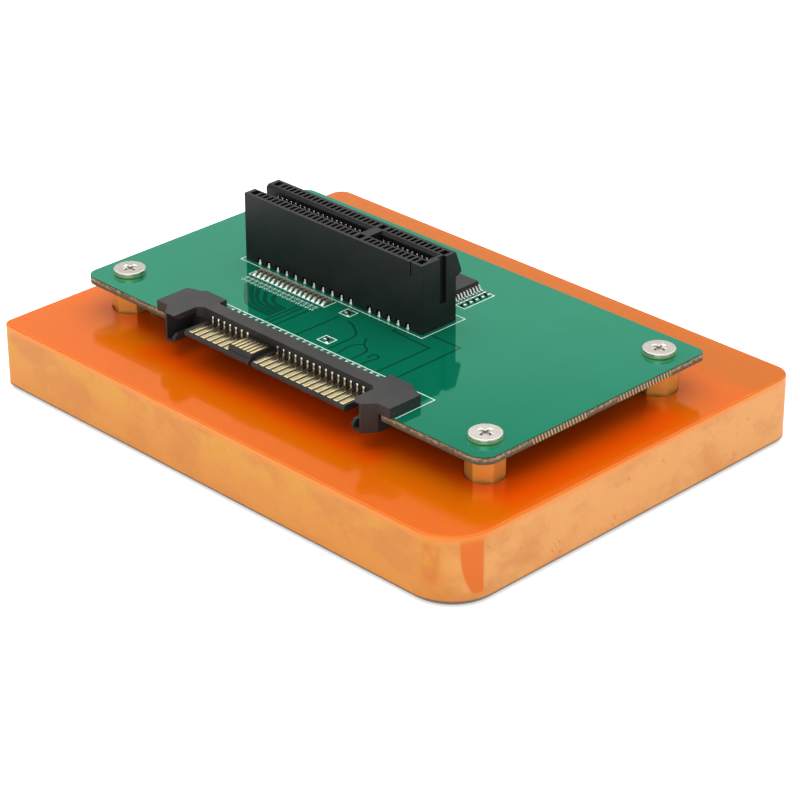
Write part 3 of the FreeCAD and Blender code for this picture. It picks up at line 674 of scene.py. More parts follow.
        # painted contact shadow: the sides darken towards the floor
        colour = shader.blend(shader.ramp(level, *self.contact_shadow_band), colour, self.foot)
        fine = shader.noise(self.fine_scale, 3.0, 0.6, (1.0, 1.0, 0.5))
        grain = shader.math("ADD", shader.math("MULTIPLY", fine, 0.5), scratch)
        rough = shader.both(hazy, shader.math("SUBTRACT", 1.0, streak))
        shader.bump(grain, shader.between(rough, 0.0, 0.6), self.relief)
        return shader.set(
            Base_Color=colour, Roughness=shader.between(rough, self.polish, self.sawn),
            Metallic=shader.between(upright, self.mirror, 0.0), IOR=1.45,
            Specular_IOR_Level=0.35, Subsurface_Weight=self.glow,
            Subsurface_Radius=self.bleed, Subsurface_Scale=self.bleed_depth)


@dataclass(frozen=True)
class SolderMask:
    """The board: glossy green mask on both faces, bare laminate round the edge."""

    mask: Colour = (0.002, 0.30, 0.165)
    mask_shade: Colour = (0.001, 0.265, 0.14)
    mask_edge: Colour = (0.02, 0.03, 0.02)
    copper_under: float = 0.55
    laminate: Colour = (0.44, 0.34, 0.18)
    # dark laminate tone, also used as painted shade on the edge towards the underside
    laminate_dark_and_shade: Colour = (0.085, 0.062, 0.04)
    bright_rib: Colour = (0.46, 0.37, 0.19)
    ribbed: tuple[Point2, ...] = ((-13.6, -2.5), (4.0, 15.3))
    rib_fade: float = 0.3
    rib_pitch: float = 0.00062
    rib_lean: float = 0.35
    shade_share: float = 0.92
    gloss: float = 0.05
    cut: float = 0.7
    relief: float = 0.00006

    def cut_edge(self, shader: Shader, nx: object, mottle: object) -> bpy.types.NodeSocket:
        """The colour of the cut edge: mottled laminate, ribbed along two stretches, with painted
        shade towards the underside.

        Args:
            shader: the material being built.
            nx: the normal's x.
            mottle: the laminate's fine pattern.

        Returns:
            The colour.
        """
        parts = shader.parts(shader.place)
        low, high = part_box(BOARD.node)
        height = shader.math(
            "DIVIDE", shader.math("SUBTRACT", parts[2], low.z), high.z - low.z)
        # painted shade: the edge darkens towards the underside
        lower_edge_shade = shader.math("MULTIPLY", shader.ramp(height, 0.56, 0.32), self.shade_share)
        glass = shader.blend(
            shader.ramp(mottle, 0.35, 0.68), self.laminate_dark_and_shade, self.laminate)
        glass = shader.blend(lower_edge_shade, glass, self.laminate_dark_and_shade)
        across, fade = shader.spot()[1], self.rib_fade
        stretches = [
            shader.both(
                shader.ramp(across, a - fade, a + fade), shader.ramp(across, b + fade, b - fade))
            for a, b in self.ribbed]
        ribbed = shader.both(shader.math("ADD", *stretches), shader.ramp(nx, 0.7, 0.95))
        glass = shader.blend(ribbed, glass, self.laminate_dark_and_shade)
        leaning = shader.math("MULTIPLY_ADD", parts[2], self.rib_lean, parts[1])
        ribs = shader.math(
            "SINE", shader.math("MULTIPLY", leaning, math.tau / self.rib_pitch))
        lit_rib = shader.both(shader.ramp(ribs, -0.1, 0.6), ribbed)
        glass = shader.blend(lit_rib, glass, self.bright_rib)
        return shader.blend(shader.ramp(height, 0.80, 0.90), glass, self.mask_edge)

    def material(self) -> bpy.types.Material:
        """Builds the material.

        Returns:
            The material.
        """
        shader = Shader("solder_mask_and_laminate")
        facing = shader.facing()
        edge = shader.ramp(shader.math("ABSOLUTE", facing[2]), 0.8, 0.5)
        mottle = shader.noise(1500.0, 3.0, 0.6, (1.0, 1.0, 2.0))
        glass = self.cut_edge(shader, facing[0], mottle)
        cloud = shader.noise(140.0, 2.0)
        green = shader.blend(cloud, self.mask, self.mask_shade)
        ripple = shader.math("MULTIPLY", cloud, 0.02)
        weave = shader.math("MULTIPLY", mottle, edge)
        shader.bump(shader.math("ADD", weave, ripple), 0.4, self.relief)
        return shader.set(
            Base_Color=shader.blend(edge, green, glass),
            Metallic=shader.between(edge, self.copper_under, 0.0),
            Roughness=shader.between(edge, self.gloss, self.cut), IOR=1.45)


@dataclass(frozen=True)
class RaisedMask:
    """Mask over a copper run: darker than the board around it."""

    colour: Colour = (0.001, 0.15, 0.075)
    shade: float = 0.8
    copper_under: float = 0.5
    gloss: float = 0.06

    def material(self) -> bpy.types.Material:
        """Builds the material.

        Returns:
            The material.
        """
        shader = Shader("mask_over_copper")
        cloud = shader.noise(220.0, 2.0)
        darker = tuple(self.shade * part for part in self.colour)
        return shader.set(
            Base_Color=shader.blend(cloud, self.colour, darker), Metallic=self.copper_under,
            Roughness=self.gloss, IOR=1.45)


@dataclass(frozen=True)
class PrintInk:
    """Printed lines: thin pale ink, a little uneven."""

    name: str
    colour: Colour
    thin: Colour

    def material(self) -> bpy.types.Material:
        """Builds the material.

        Returns:
            The material.
        """
        shader = Shader(self.name)
        grain = shader.noise(2400.0, 3.0)
        worn = shader.ramp(grain, 0.45, 0.75)
        return shader.set(
            Base_Color=shader.blend(worn, self.colour, self.thin), Roughness=0.55)


@dataclass(frozen=True)
class MouldedPlastic:
    """A moulded housing, with the fine grain of its mould."""

    name: str
    colour: Colour
    worn: Colour
    roughness: float
    shine: float = 0.5
    spread: float = 0.06
    grain: float = 5200.0
    relief: float = 0.00002

    def material(self) -> bpy.types.Material:
        """Builds the material.

        Returns:
            The material.
        """
        shader = Shader(self.name)
        cloud = shader.noise(260.0, 3.0)
        grain = shader.noise(self.grain, 2.0, 0.6)
        shader.bump(grain, 0.3, self.relief)
        return shader.set(
            Base_Color=shader.blend(shader.ramp(cloud, 0.35, 0.75), self.colour, self.worn),
            Roughness=shader.between(
                grain, self.roughness - self.spread, self.roughness + self.spread),
            Specular_IOR_Level=self.shine, IOR=1.47)


@dataclass(frozen=True)
class PlatedMetal:
    """A metal surface: its colour, how polished it is and how far it varies."""

    name: str
    colour: Colour
    tarnish: Colour
    roughness: float
    grain: float = 1800.0
    relief: float = 0.00001
    metallic: float = 1.0

    def material(self) -> bpy.types.Material:
        """Builds the material.

        Returns:
            The material.
        """
        shader = Shader(self.name)
        cloud = shader.noise(self.grain, 3.0)
        shader.bump(cloud, 0.25, self.relief)
        return shader.set(
            Base_Color=shader.blend(shader.ramp(cloud, 0.4, 0.8), self.colour, self.tarnish),
            Metallic=self.metallic,
            Roughness=shader.between(cloud, self.roughness * 0.7, self.roughness * 1.3))


@dataclass(frozen=True)
class ContactPlate:
    """The plug's contacts: gold where the drive touches them, painted shade on the rear of the
    blades, and tinned legs with painted shade in their middle.

    Places and heights are in millimetres in the board's frame.
    """

    name: str
    leg_from: float
    gold: Colour = (0.80, 0.66, 0.34)
    # painted shade for the rear of the blades and the middle of the legs
    dull_and_shade: Colour = (0.22, 0.15, 0.07)
    tin: Colour = (0.85, 0.85, 0.80)
    front: float = -24.65
    back: float = -20.2
    shade_from: Point2 = (0.42, 0.72)
    dull_and_shade_share: float = 0.85
    leg_height: float = 0.85
    leg_share: float = 0.8
    relief: float = 0.00001

    def material(self) -> bpy.types.Material:
        """Builds the material.

        Returns:
            The material.
        """
        shader = Shader(self.name)
        _, y, z = shader.spot()
        length = self.back - self.front
        grain = shader.noise(1800.0, 3.0)
        start, end = self.shade_from
        # painted shade: the rear of each blade darkens for the housing's shadow and its dark
        # reflection
        shaded_behind = shader.ramp(y, self.front + start * length, self.front + end * length)
        flat = shader.blend(
            shader.math("MULTIPLY", shaded_behind, self.dull_and_shade_share), self.gold, self.dull_and_shade)
        leg = shader.ramp(z, self.leg_from, self.leg_from + 0.12)
        # painted shade in the middle of each leg; the tin left bright at the bends is its own
        # colour and a painted highlight
        middle = shader.both(
            shader.ramp(z, 0.02, 0.18),
            shader.ramp(z, self.leg_height - 0.2, self.leg_height - 0.32))
        tinned = shader.blend(
            shader.math("MULTIPLY", middle, self.leg_share), self.tin, self.dull_and_shade)
        shader.bump(grain, 0.25, self.relief)
        return shader.set(
            Base_Color=shader.blend(leg, flat, tinned), Metallic=1.0,
            Roughness=shader.between(grain, 0.12, 0.22))


@dataclass(frozen=True)
class ScrewPlate:
    """The screws: brushed top, a rim warmed by painted reflection and painted shade in the recess.
    """

    top: Colour = (0.66, 0.62, 0.56)
    # painted reflection: warm colour on the rim round the bottom of the head
    rim: Colour = (0.92, 0.72, 0.40)
    # painted shade in the cross recess
    recess: Colour = (0.40, 0.37, 0.34)
    places: Point2 = (37.4, 18.0)
    recess_radius: float = 1.25
    head: float = 0.85
    rim_rougher: float = 0.2
    relief: float = 0.00001

    def material(self) -> bpy.types.Material:
        """Builds the material.

        Returns:
            The material.
        """
        shader = Shader("screw_plate")
        x, y, z = shader.spot()
        across = [
            shader.math("SUBTRACT", shader.math("ABSOLUTE", value), place)
            for value, place in zip((x, y), self.places)]
        squares = [shader.math("MULTIPLY", value, value) for value in across]
        radius = shader.math("SQRT", shader.math("ADD", *squares))
        # painted shade: the cross recess is darkened
        sunk = shader.both(
            shader.ramp(radius, self.recess_radius + 0.1, self.recess_radius),
            shader.ramp(z, self.head - 0.05, self.head - 0.3))
        # painted reflection: the rim round the bottom of the head is warmed for what it mirrors
        low = shader.ramp(z, self.head - 0.28, self.head - 0.5)
        brushed = shader.noise(700.0, 1.0, 0.4, (1.0, 3.0, 1.0))
        colour = shader.blend(low, self.top, self.rim)
        colour = shader.blend(sunk, colour, self.recess)
        shader.bump(brushed, 0.1, self.relief)
        top_rough = shader.between(brushed, 0.2, 0.3)
        return shader.set(
            Base_Color=colour, Metallic=1.0,
            Roughness=shader.math("MULTIPLY_ADD", low, self.rim_rougher, top_rough))


@dataclass(frozen=True)
class FiredCeramic:
    """The body of a small part."""

    name: str
    colour: Colour
    speck: Colour
    roughness: float = 0.4

    def material(self) -> bpy.types.Material:
        """Builds the material.

        Returns:
            The material.
        """
        shader = Shader(self.name)
        speck = shader.noise(6000.0, 2.0)
        return shader.set(
            Base_Color=shader.blend(shader.ramp(speck, 0.45, 0.7), self.colour, self.speck),
            Roughness=self.roughness)


class Finishes:
    """Every material, built once."""

    def __init__(self) -> None:
        """Builds the materials."""
        self.resin = CastResin().material()
        self.board = SolderMask().material()
        self.copper_run = RaisedMask().material()
        self.ink = PrintInk("print_ink", (0.76, 0.88, 0.82), (0.50, 0.74, 0.62)).material()
        self.small_ink = PrintInk(
            "small_print_ink", (0.46, 0.62, 0.55), (0.22, 0.44, 0.34)).material()
        self.slot = MouldedPlastic(
            "slot_moulding", (0.007, 0.007, 0.007), (0.011, 0.011, 0.011), 0.42,
            shine=0.3).material()
        self.plug = MouldedPlastic(
            "plug_moulding", (0.019, 0.018, 0.017), (0.029, 0.027, 0.026), 0.46,
            shine=0.38).material()
        self.chip = MouldedPlastic(
            "chip_moulding", (0.014, 0.013, 0.012), (0.022, 0.020, 0.018), 0.5,
            shine=0.35).material()
        self.gold = PlatedMetal(
            "gold_plate", (0.80, 0.66, 0.36), (0.66, 0.50, 0.26), 0.14).material()
        self.blade = ContactPlate("blade_plate", leg_from=-0.12).material()
        self.fine_blade = ContactPlate("fine_blade_plate", leg_from=5.0).material()
        self.spring = PlatedMetal(
            "spring_plate", (0.80, 0.79, 0.74), (0.62, 0.60, 0.55), 0.16).material()
        self.nickel = ScrewPlate().material()
        self.brass = PlatedMetal(
            "turned_brass", (0.82, 0.50, 0.11), (0.76, 0.44, 0.08), 0.2, grain=260.0,
            relief=0.000001, metallic=0.5).material()
        self.solder = PlatedMetal(
            "bright_solder", (0.80, 0.81, 0.76), (0.64, 0.66, 0.60), 0.3).material()
        self.fillet = PlatedMetal(
            "solder_fillet", (0.90, 0.90, 0.86), (0.76, 0.76, 0.72), 0.3).material()
        self.tin = PlatedMetal(
            "tin_plate", (0.82, 0.81, 0.79), (0.70, 0.69, 0.67), 0.3).material()
        self.capacitor = FiredCeramic(
            "capacitor_ceramic", (0.13, 0.105, 0.06), (0.21, 0.155, 0.10)).material()
        self.resistor = FiredCeramic(
            "resistor_film", (0.012, 0.012, 0.014), (0.03, 0.03, 0.032), 0.3).material()


# ---- sub-assemblies -------------------------------------------------------------------------
@dataclass
class DisplayBase:
    """The thick base plate, with its top edge rounded over."""

    finishes: Finishes
    edge: EdgeBreak = EdgeBreak(0.08, 2, 20.0)

    def build(self) -> None:
        """Makes the plate."""
        plate = Workpiece.from_node("base_plate")
        plate.soften(self.edge)
        plate.finish("base_plate_polished", self.finishes.resin, Look.BASE, ["base_plate"])


@dataclass
class CircuitBoard:
    """The board itself."""

    finishes: Finishes
    edge: EdgeBreak = EdgeBreak(0.04, 1, 60.0)

    def build(self) -> None:
        """Makes the board."""
        board = Workpiece.from_node("circuit_board")
        board.soften(self.edge)
        board.finish("circuit_board_routed", self.finishes.board, Look.BOARD, ["circuit_board"])


@dataclass
class Fasteners:
    """Screws and standoffs."""

    finishes: Finishes
    screw_edge: EdgeBreak = EdgeBreak(0.2, 4, 35.0)
    standoff_edge: EdgeBreak = EdgeBreak(0.09, 2, 35.0)
    corners: tuple[str, ...] = ("front_left", "front_right", "back_left", "back_right")

    def build(self) -> None:
        """Makes all four of each."""
        for corner in self.corners:
            screw = Workpiece.from_node("board_screw_" + corner)
            screw.soften(self.screw_edge)
            screw.finish(
                "pan_head_" + corner, self.finishes.nickel, Look.NICKEL, ["board_screw_" + corner])
            post = Workpiece.from_node("standoff_" + corner)
            post.soften(self.standoff_edge)
            post.finish(
                "hex_post_" + corner, self.finishes.brass, Look.BRASS, ["standoff_" + corner])


@dataclass
class CardSlot:
    """The card slot: housing, springs and the solder of its outer pins."""

    finishes: Finishes
    edge: EdgeBreak = EdgeBreak(0.07, 2, 30.0)
    spring_edge: EdgeBreak = EdgeBreak(0.03, 1, 60.0)
    step: float = 2.0
    long_count: int = 11
    short_count: int = 5
    joint_foot: float = 0.33
    joint_steps: int = 14
    bell: tuple[Point2, ...] = (
        (0.0, 0.0), (1.0, 0.0), (0.97, 0.1), (0.84, 0.26), (0.68, 0.46), (0.54, 0.66),
        (0.45, 0.86), (0.32, 0.96), (0.0, 1.0))

    def build(self) -> None:
        """Makes every piece of the slot."""
        housing = Workpiece.from_node("card_slot_housing")
        housing.soften(self.edge)
        housing.finish(
            "card_slot_moulding", self.finishes.slot, Look.SLOT, ["card_slot_housing"])
        for wall in ("front", "back"):
            springs = Workpiece.from_node("card_slot_contacts_" + wall)
            springs.soften(self.spring_edge)
            springs.finish(
                "card_slot_springs_" + wall, self.finishes.spring, Look.SPRING,
                ["card_slot_contacts_" + wall])
        self.build_joints()

    def joint_places(self) -> list[float]:
        """The x of every outer pin.

        Returns:
            The places, from the open end on.
        """
        span = BOARD.span("card_slot_top_joints")
        first, last = span.low.x + self.joint_foot, span.high.x - self.joint_foot
        long_side = [first + self.step * i for i in range(self.long_count)]
        short_side = [last - self.step * i for i in reversed(range(self.short_count))]
        return long_side + short_side

    def build_joints(self) -> None:
        """Makes the bell-shaped solder round the outer pins."""
        span = BOARD.span("card_slot_top_joints")
        foot, top = self.joint_foot, span.high.z
        profile = [(foot * r, top * z) for r, z in self.bell]
        joints = Workpiece()
        for y in (span.low.y + foot, span.high.y - foot):
            for x in self.joint_places():
                joints.lathe(profile, x, y, self.joint_steps)
        joints.finish(
            "card_slot_solder_bells", self.finishes.solder, Look.SOLDER,
            ["card_slot_top_joints"], 70.0)


@dataclass
class DrivePlug:
    """The drive plug: housing, blades, tails and their solder."""

    finishes: Finishes
    edge: EdgeBreak = EdgeBreak(0.09, 2, 30.0)
    blade_edge: EdgeBreak = EdgeBreak(0.07, 2, 30.0)
    tail_edge: EdgeBreak = EdgeBreak(0.03, 1, 60.0)

    def build(self) -> None:
        """Makes every piece of the plug."""
        housing = Workpiece.from_node("drive_plug_housing")
        housing.soften(self.edge)
        housing.finish(
            "drive_plug_moulding", self.finishes.plug, Look.PLUG, ["drive_plug_housing"])
        kinds = (
            ("signal_blades", self.finishes.blade), ("power_blades", self.finishes.blade),
            ("fine_blades", self.finishes.fine_blade),
        )
        for node, finish in kinds:
            blades = Workpiece.from_node(node)
            blades.soften(self.blade_edge)
            blades.finish(node + "_plated", finish, Look.GOLD, [node])
        tails = Workpiece.from_node("drive_plug_tails")
        tails.soften(self.tail_edge)
        tails.finish("plug_tails_formed", self.finishes.fillet, Look.TIN, ["drive_plug_tails"])


@dataclass
class SmallParts:
    """The chip, the capacitors and the resistors."""

    finishes: Finishes
    cap_edge: EdgeBreak = EdgeBreak(0.07, 2, 30.0)
    body_edge: EdgeBreak = EdgeBreak(0.04, 1, 30.0)
    chip_edge: EdgeBreak = EdgeBreak(0.06, 2, 10.0)
    capacitor_pitch: float = 1.0
    capacitor_half: float = 0.275
    fillet_reach: Point2 = (0.5, 0.16)
    fillet_climb: float = 0.85
    pads: tuple[Point2, ...] = ((-2.95, -5.1), (1.25, -13.35))
    pad_radius: float = 0.3
    pad_steps: int = 16
    dome: tuple[Point2, ...] = ((0.0, 0.0), (1.0, 0.0), (0.86, 0.07), (0.5, 0.13), (0.0, 0.15))

    def build_fillets(self) -> None:
        """Makes the solder at both ends of every capacitor."""
        span = BOARD.span("capacitor_end_caps")
        count = round((span.size.x - 2 * self.capacitor_half) / self.capacitor_pitch) + 1
        solder = Workpiece()
        front, back = self.fillet_reach
        climb = self.fillet_climb * span.high.z
        for index in range(count):
            x = span.low.x + self.capacitor_half + index * self.capacitor_pitch
            for wall, toe in ((span.low.y, -front), (span.high.y, back)):
                solder.fillet(x, self.capacitor_half, wall, wall + toe, climb)
        solder.finish("capacitor_fillets", self.finishes.fillet, Look.SOLDER)

    def build_pads(self) -> None:
        """Makes the tinned pads beside the two single parts."""
        domes = Workpiece()
        profile = [(share * self.pad_radius, z) for share, z in self.dome]
        for x, y in self.pads:
            domes.lathe(profile, x, y, self.pad_steps)
        domes.finish("tinned_pads", self.finishes.fillet, Look.SOLDER)

    def build(self) -> None:
        """Makes them."""
        self.build_fillets()
        self.build_pads()
        chip = Workpiece.from_node("chip_body")
        chip.soften(self.chip_edge)
        chip.finish("chip_package", self.finishes.chip, Look.CHIP, ["chip_body"])
        leads = Workpiece.from_node("chip_leads")
        leads.finish("chip_leads_formed", self.finishes.tin, Look.TIN, ["chip_leads"])
        kinds = (
            ("capacitor", self.finishes.capacitor, Look.CAPACITOR),
            ("resistor", self.finishes.resistor, Look.RESISTOR),
        )
        for kind, finish, look in kinds:
            bodies = Workpiece.from_node(kind + "_bodies")
            bodies.soften(self.body_edge)
            bodies.finish(kind + "_cores", finish, look, [kind + "_bodies"])
            caps = Workpiece.from_node(kind + "_end_caps")
            caps.soften(self.cap_edge)
            caps.finish(kind + "_caps", self.finishes.tin, Look.TIN, [kind + "_end_caps"])


@dataclass
class FlatLine:
    """A flat line on the board that follows a path: print or a copper run."""

    width: float
    thickness: float
    sunk: float = 0.004
    rounds: int = 3
    cut_share: float = 0.25
    sharpest: float = 0.4

    def bend(self, path: Sequence[Point2]) -> list[Point2]:
        """Cuts the corners of a path until it bends smoothly.

        Args:
            path: its points.

        Returns:
            More points, with the same ends.
        """
        points = list(path)
        near, far = self.cut_share, 1.0 - self.cut_share
        for _ in range(self.rounds):
            cut = [points[0]]
            for (x0, y0), (x1, y1) in zip(points, points[1:]):
                cut.append((far * x0 + near * x1, far * y0 + near * y1))
                cut.append((near * x0 + far * x1, near * y0 + far * y1))
            points = cut + [points[-1]]
        return points

    def sides(self, path: Sequence[Point2], closed: bool) -> list[tuple[Vector, Vector]]:
        """The two edges of the line.

        Args:
            path: the middle line's points.
            closed: whether it ends where it starts.

        Returns:
            The left and the right point at each point of the path.
        """
        points = [Vector(point) for point in path]
        edges = []
        for index, point in enumerate(points):
            last = index + 1 == len(points)
            before = points[index - 1] if closed or index else point
            after = points[(index + 1) % len(points)] if closed or not last else point
            normals = [
                Vector((a.y - b.y, b.x - a.x)).normalized()
                for a, b in ((before, point), (point, after)) if (b - a).length > 0]
            across = sum(normals, Vector((0.0, 0.0))).normalized()
            reach = self.width / 2 / max(across.dot(normals[0]), self.sharpest)
            edges.append((point + across * reach, point - across * reach))
        return edges

    def mesh(
        self, name: str, paths: Sequence[Sequence[Point2]], closed: bool, smooth: bool = False,
    ) -> bpy.types.Mesh:
        """Makes the mesh of several lines.

        Args:
            name: the mesh's name.
            paths: their points, in the board's frame.
            closed: whether each path ends where it starts.
            smooth: whether the paths bend smoothly.

        Returns:
            The mesh, in metres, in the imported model's frame.
        """
        form = bmesh.new()
        for path in paths:
            edges = self.sides(self.bend(path) if smooth else path, closed)
            rings = [
                [form.verts.new((*side, z)) for side, z in (
                    (left, -self.sunk), (left, self.thickness),
                    (right, self.thickness), (right, -self.sunk))]
                for left, right in edges]
            pairs = list(zip(rings, rings[1:])) + ([(rings[-1], rings[0])] if closed else [])
            for a, b in pairs:
                for i in range(4):
                    j = (i + 1) % 4
                    form.faces.new((a[i], a[j], b[j], b[i]))
            if not closed:
                form.faces.new(rings[0])
                form.faces.new(rings[-1])
        bmesh.ops.recalc_face_normals(form, faces=form.faces)
        mesh = bpy.data.meshes.new(name)
        form.to_mesh(mesh)
        form.free()
        mesh.transform(BOARD.to_world())
        return mesh


def rectangle(x0: float, y0: float, x1: float, y1: float) -> list[Point2]:
    """The corners of a rectangle.

    Args:
        x0: one side.
        y0: the near side.
        x1: the other side.
        y1: the far side.

    Returns:
        Four points.
    """
    return [(x0, y0), (x1, y0), (x1, y1), (x0, y1)]


@dataclass
class BoardPrint:
    """The printed outlines round the parts, and plain ticks where small print stands."""

    finishes: Finishes
    line: FlatLine = field(default_factory=lambda: FlatLine(0.15, 0.012))
    fine_line: FlatLine = field(default_factory=lambda: FlatLine(0.14, 0.012))
    slot_outline: tuple[float, ...] = (-29.1, -2.76, 10.08, 6.3)
    resistor_outlines: tuple[tuple[float, ...], ...] = (
        (-4.64, -5.3, -2.55, -3.45), (-0.5, -13.65, 1.68, -11.75))
    column_outline: tuple[float, ...] = (5.75, 8.65, 7.65, 15.05)
    capacitor_line: tuple[Point2, ...] = (
        (-24.15, -3.1), (-24.15, -5.55), (-7.55, -5.55), (-7.55, -3.1))
    plug_lines: tuple[tuple[Point2, ...], ...] = (
        ((-25.3, -14.9), (-24.5, -14.9)), ((-18.7, -14.95), (15.0, -15.0)),
        ((20.9, -15.05), (24.9, -15.1), (24.95, -22.9)))
    tick_count: int = 16
    first_tick: float = -23.4
    ticks: tuple[tuple[Point2, ...], ...] = (
        ((-0.38, -6.85), (-0.15, -6.15), (0.1, -6.8), (0.34, -6.2)),
        ((-0.38, -7.2), (-0.1, -7.65), (0.15, -7.1), (0.38, -7.6)))

    def build(self) -> None:
        """Makes the printed lines."""
        outlines = [
            rectangle(*sides)
            for sides in (self.slot_outline, *self.resistor_outlines, self.column_outline)]
        self.put("print_outlines", self.line, outlines, True, self.finishes.ink)
        paths = [self.capacitor_line, *self.plug_lines]
        self.put("print_open_lines", self.line, paths, False, self.finishes.ink)
        ticks = [
            [(self.first_tick + index + x, y) for x, y in tick]
            for index in range(self.tick_count) for tick in self.ticks]
        self.put("print_ticks", self.fine_line, ticks, False, self.finishes.small_ink)

    def put(
        self, name: str, line: FlatLine, paths: Sequence[Sequence[Point2]], closed: bool,
        ink: bpy.types.Material,
    ) -> None:
        """Places lines on the board.

        Args:
            name: the piece's name.
            line: width and thickness.
            paths: their points.
            closed: whether they close.
            ink: the finish.
        """
        place_mesh(line.mesh(name, paths, closed), name, ink)


@dataclass
class CopperRuns:
    """The copper runs that show through the mask, as paths in the board's frame."""

    finishes: Finishes
    run: FlatLine = field(default_factory=lambda: FlatLine(0.4, 0.008))
    broad_run: FlatLine = field(default_factory=lambda: FlatLine(0.72, 0.008))
    straight: tuple[tuple[Point2, ...], ...] = (
        ((5.3, -3.3), (5.3, -3.95), (13.0, -4.2), (13.0, -14.8)),
        ((10.3, -1.05), (16.2, -1.05), (16.3, -14.8)),
        ((-3.8, -6.0), (-3.8, -14.7)),
        ((-10.6, -8.0), (-10.6, -14.6)),
        ((-9.7, -8.0), (-9.7, -14.6)),
        ((-8.4, -8.0), (-8.4, -14.6)),
    )
    curved: tuple[tuple[Point2, ...], ...] = (
        ((-1.8, -6.3), (-0.3, -6.6), (2.4, -8.4), (2.8, -9.8), (2.8, -14.6)),
        ((4.3, -8.3), (5.6, -10.2), (7.3, -10.9), (7.6, -12.3), (7.6, -14.6)),
        ((4.8, -14.6), (4.4, -12.4), (4.6, -10.9), (5.4, -10.1)),
        ((9.7, -14.6), (9.9, -12.4), (10.3, -11.7), (9.4, -11.0), (8.8, -11.3), (8.9, -12.6)),
    )
    broad: tuple[tuple[Point2, ...], ...] = (
        ((-22.0, -8.0), (-17.6, -12.2), (-15.6, -13.1), (-11.2, -13.1)),
        ((-20.8, -8.0), (-17.2, -11.4), (-15.3, -12.3), (-11.2, -12.3)),
        ((-19.4, -8.0), (-16.8, -10.7), (-15.0, -11.5), (-11.2, -11.5)),
        ((-17.6, -8.0), (-15.9, -10.0), (-14.4, -10.8), (-11.2, -10.8)),
        ((-15.8, -8.0), (-14.8, -9.3), (-13.4, -10.0), (-11.2, -10.0)),
    )

    def build(self) -> None:
        """Makes the runs."""
        kinds = (
            ("straight", self.run, self.straight, False), ("curved", self.run, self.curved, True),
            ("broad", self.broad_run, self.broad, True),
        )
        for name, line, paths, smooth in kinds:
            mesh = line.mesh("copper_runs_" + name, paths, False, smooth)
            place_mesh(mesh, "copper_runs_" + name, self.finishes.copper_run)


# ---- studio ---------------------------------------------------------------------------------
@dataclass(frozen=True)
class SoftBox:
    """One square area light."""

    name: str
    place: Point3
    size: float
    power: float


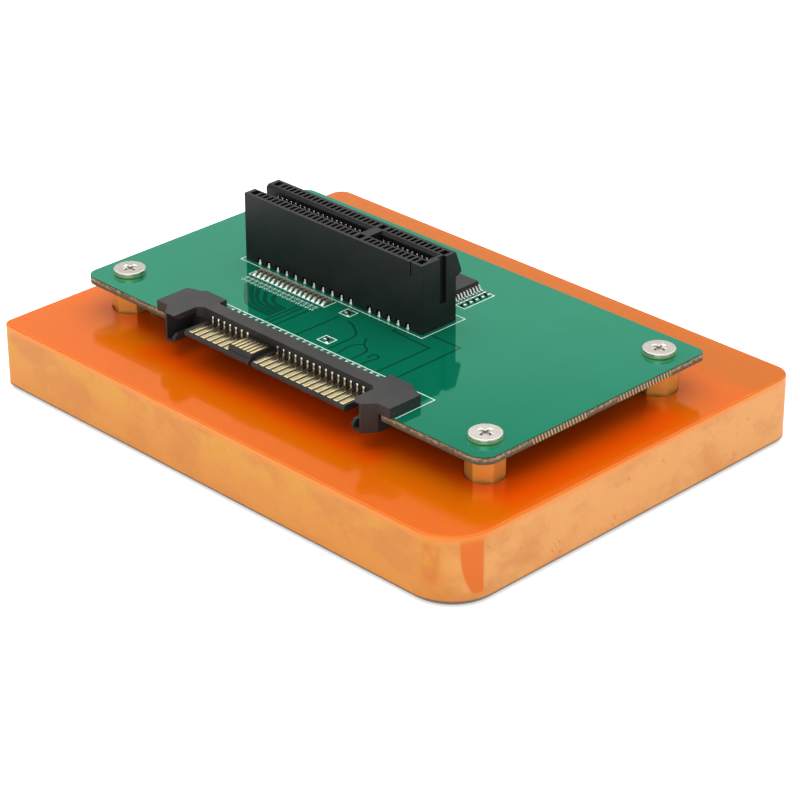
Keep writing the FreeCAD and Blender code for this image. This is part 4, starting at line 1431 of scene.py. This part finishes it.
@dataclass
class Studio:
    """Floor, light and camera, in metres and degrees."""

    target: Vector = field(default_factory=lambda: Vector((-0.00075, -0.00003, 0.01079)))
    azimuth: float = 45.64
    elevation: float = 26.56
    roll: float = 0.40
    distance: float = 0.4281
    lens: float = 129.56
    sensor: float = 36.0
    nearest: float = 0.01
    shift: Point2 = (0.0163, -0.0685)
    floor_size: float = 3.0
    paper: Colour = (0.94, 0.94, 0.94)
    table_glow: float = 0.48
    sky: tuple[float, float, float, float] = (0.43, 0.50, 0.8, 0.35)
    boxes: tuple[SoftBox, ...] = (
        SoftBox("overhead_box", (-0.15, 0.15, 0.75), 1.3, 10.0),
        SoftBox("front_box", (0.35, -0.5, 0.35), 0.5, 0.9))

    def build(self) -> None:
        """Makes all of it."""
        self.build_floor()
        self.build_light()
        self.build_camera()

    def build_floor(self) -> None:
        """Makes the plain pale floor."""
        form = bmesh.new()
        bmesh.ops.create_grid(form, x_segments=1, y_segments=1, size=self.floor_size)
        mesh = bpy.data.meshes.new("studio_floor")
        form.to_mesh(mesh)
        form.free()
        shader = Shader("studio_paper")
        mesh.materials.append(shader.set(
            Base_Color=self.paper, Roughness=0.9, Emission_Color=(1.0, 1.0, 1.0),
            Emission_Strength=self.table_glow))
        floor = bpy.data.objects.new("studio_floor", mesh)
        bpy.context.scene.collection.objects.link(floor)

    def build_light(self) -> None:
        """Makes the surroundings, brighter towards the horizon, and the soft boxes."""
        world = bpy.data.worlds.new("studio_world")
        world.use_nodes = True
        tree = world.node_tree
        direction = tree.nodes.new("ShaderNodeTexCoord").outputs["Generated"]
        parts = tree.nodes.new("ShaderNodeSeparateXYZ")
        fade = tree.nodes.new("ShaderNodeMapRange")
        fade.interpolation_type = "SMOOTHSTEP"
        for name, value in zip(("From Min", "From Max", "To Min", "To Max"), self.sky):
            fade.inputs[name].default_value = value
        background = tree.nodes["Background"]
        background.inputs["Color"].default_value = (1.0, 1.0, 1.0, 1.0)
        tree.links.new(direction, parts.inputs[0])
        tree.links.new(parts.outputs["Z"], fade.inputs["Value"])
        tree.links.new(fade.outputs["Result"], background.inputs["Strength"])
        bpy.context.scene.world = world
        for box in self.boxes:
            self.hang(box)

    def hang(self, box: SoftBox) -> None:
        """Makes one soft box that points at the object.

        Args:
            box: its name, place in metres, side in metres and power in watts.
        """
        light = bpy.data.lights.new(box.name, "AREA")
        light.shape = "SQUARE"
        light.size = box.size
        light.energy = box.power
        lamp = bpy.data.objects.new(box.name, light)
        bpy.context.scene.collection.objects.link(lamp)
        place = Vector(box.place)
        lamp.matrix_world = Matrix.Translation(place) @ aim(self.target - place)

    def build_camera(self) -> None:
        """Makes the camera, looking from the front right and above."""
        a, e = math.radians(self.azimuth), math.radians(self.elevation)
        back = Vector((math.sin(a) * math.cos(e), -math.cos(a) * math.cos(e), math.sin(e)))
        lens = bpy.data.cameras.new("card_camera")
        lens.sensor_width = self.sensor
        lens.lens = self.lens
        lens.shift_x, lens.shift_y = self.shift
        lens.clip_start = self.nearest
        camera = bpy.data.objects.new("card_camera", lens)
        bpy.context.scene.collection.objects.link(camera)
        place = self.target + back * self.distance
        turn = Matrix.Rotation(-math.radians(self.roll), 4, "Z")
        camera.matrix_world = Matrix.Translation(place) @ aim(-back) @ turn
        bpy.context.scene.camera = camera
        bpy.context.scene.view_settings.view_transform = "Standard"


def aim(direction: Vector) -> Matrix:
    """The turn that points a lamp or camera along a direction.

    Args:
        direction: where it looks.

    Returns:
        The turn, as a matrix.
    """
    return direction.to_track_quat("-Z", "Y").to_matrix().to_4x4()


def dress_plain_nodes(finishes: Finishes) -> None:
    """Gives the nodes that keep their own mesh their finish.

    Args:
        finishes: the materials.
    """
    plain = {
        "card_slot_bottom_joints": finishes.solder,
        "drive_plug_tail_solder": finishes.solder,
        "lower_blades": finishes.gold,
    }
    for node, finish in plain.items():
        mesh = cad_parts[node].data
        mesh.materials.clear()
        mesh.materials.append(finish)


def main() -> None:
    """Builds every sub-assembly in order."""
    logging.basicConfig(level=logging.INFO, format="%(name)s: %(message)s")
    finishes = Finishes()
    builders = [
        DisplayBase(finishes), CircuitBoard(finishes), Fasteners(finishes), CardSlot(finishes),
        DrivePlug(finishes), SmallParts(finishes), BoardPrint(finishes), CopperRuns(finishes),
        Studio(),
    ]
    dress_plain_nodes(finishes)
    for builder in builders:
        builder.build()
        LOG.info("%s done", type(builder).__name__)


if __name__ == "__main__":
    main()
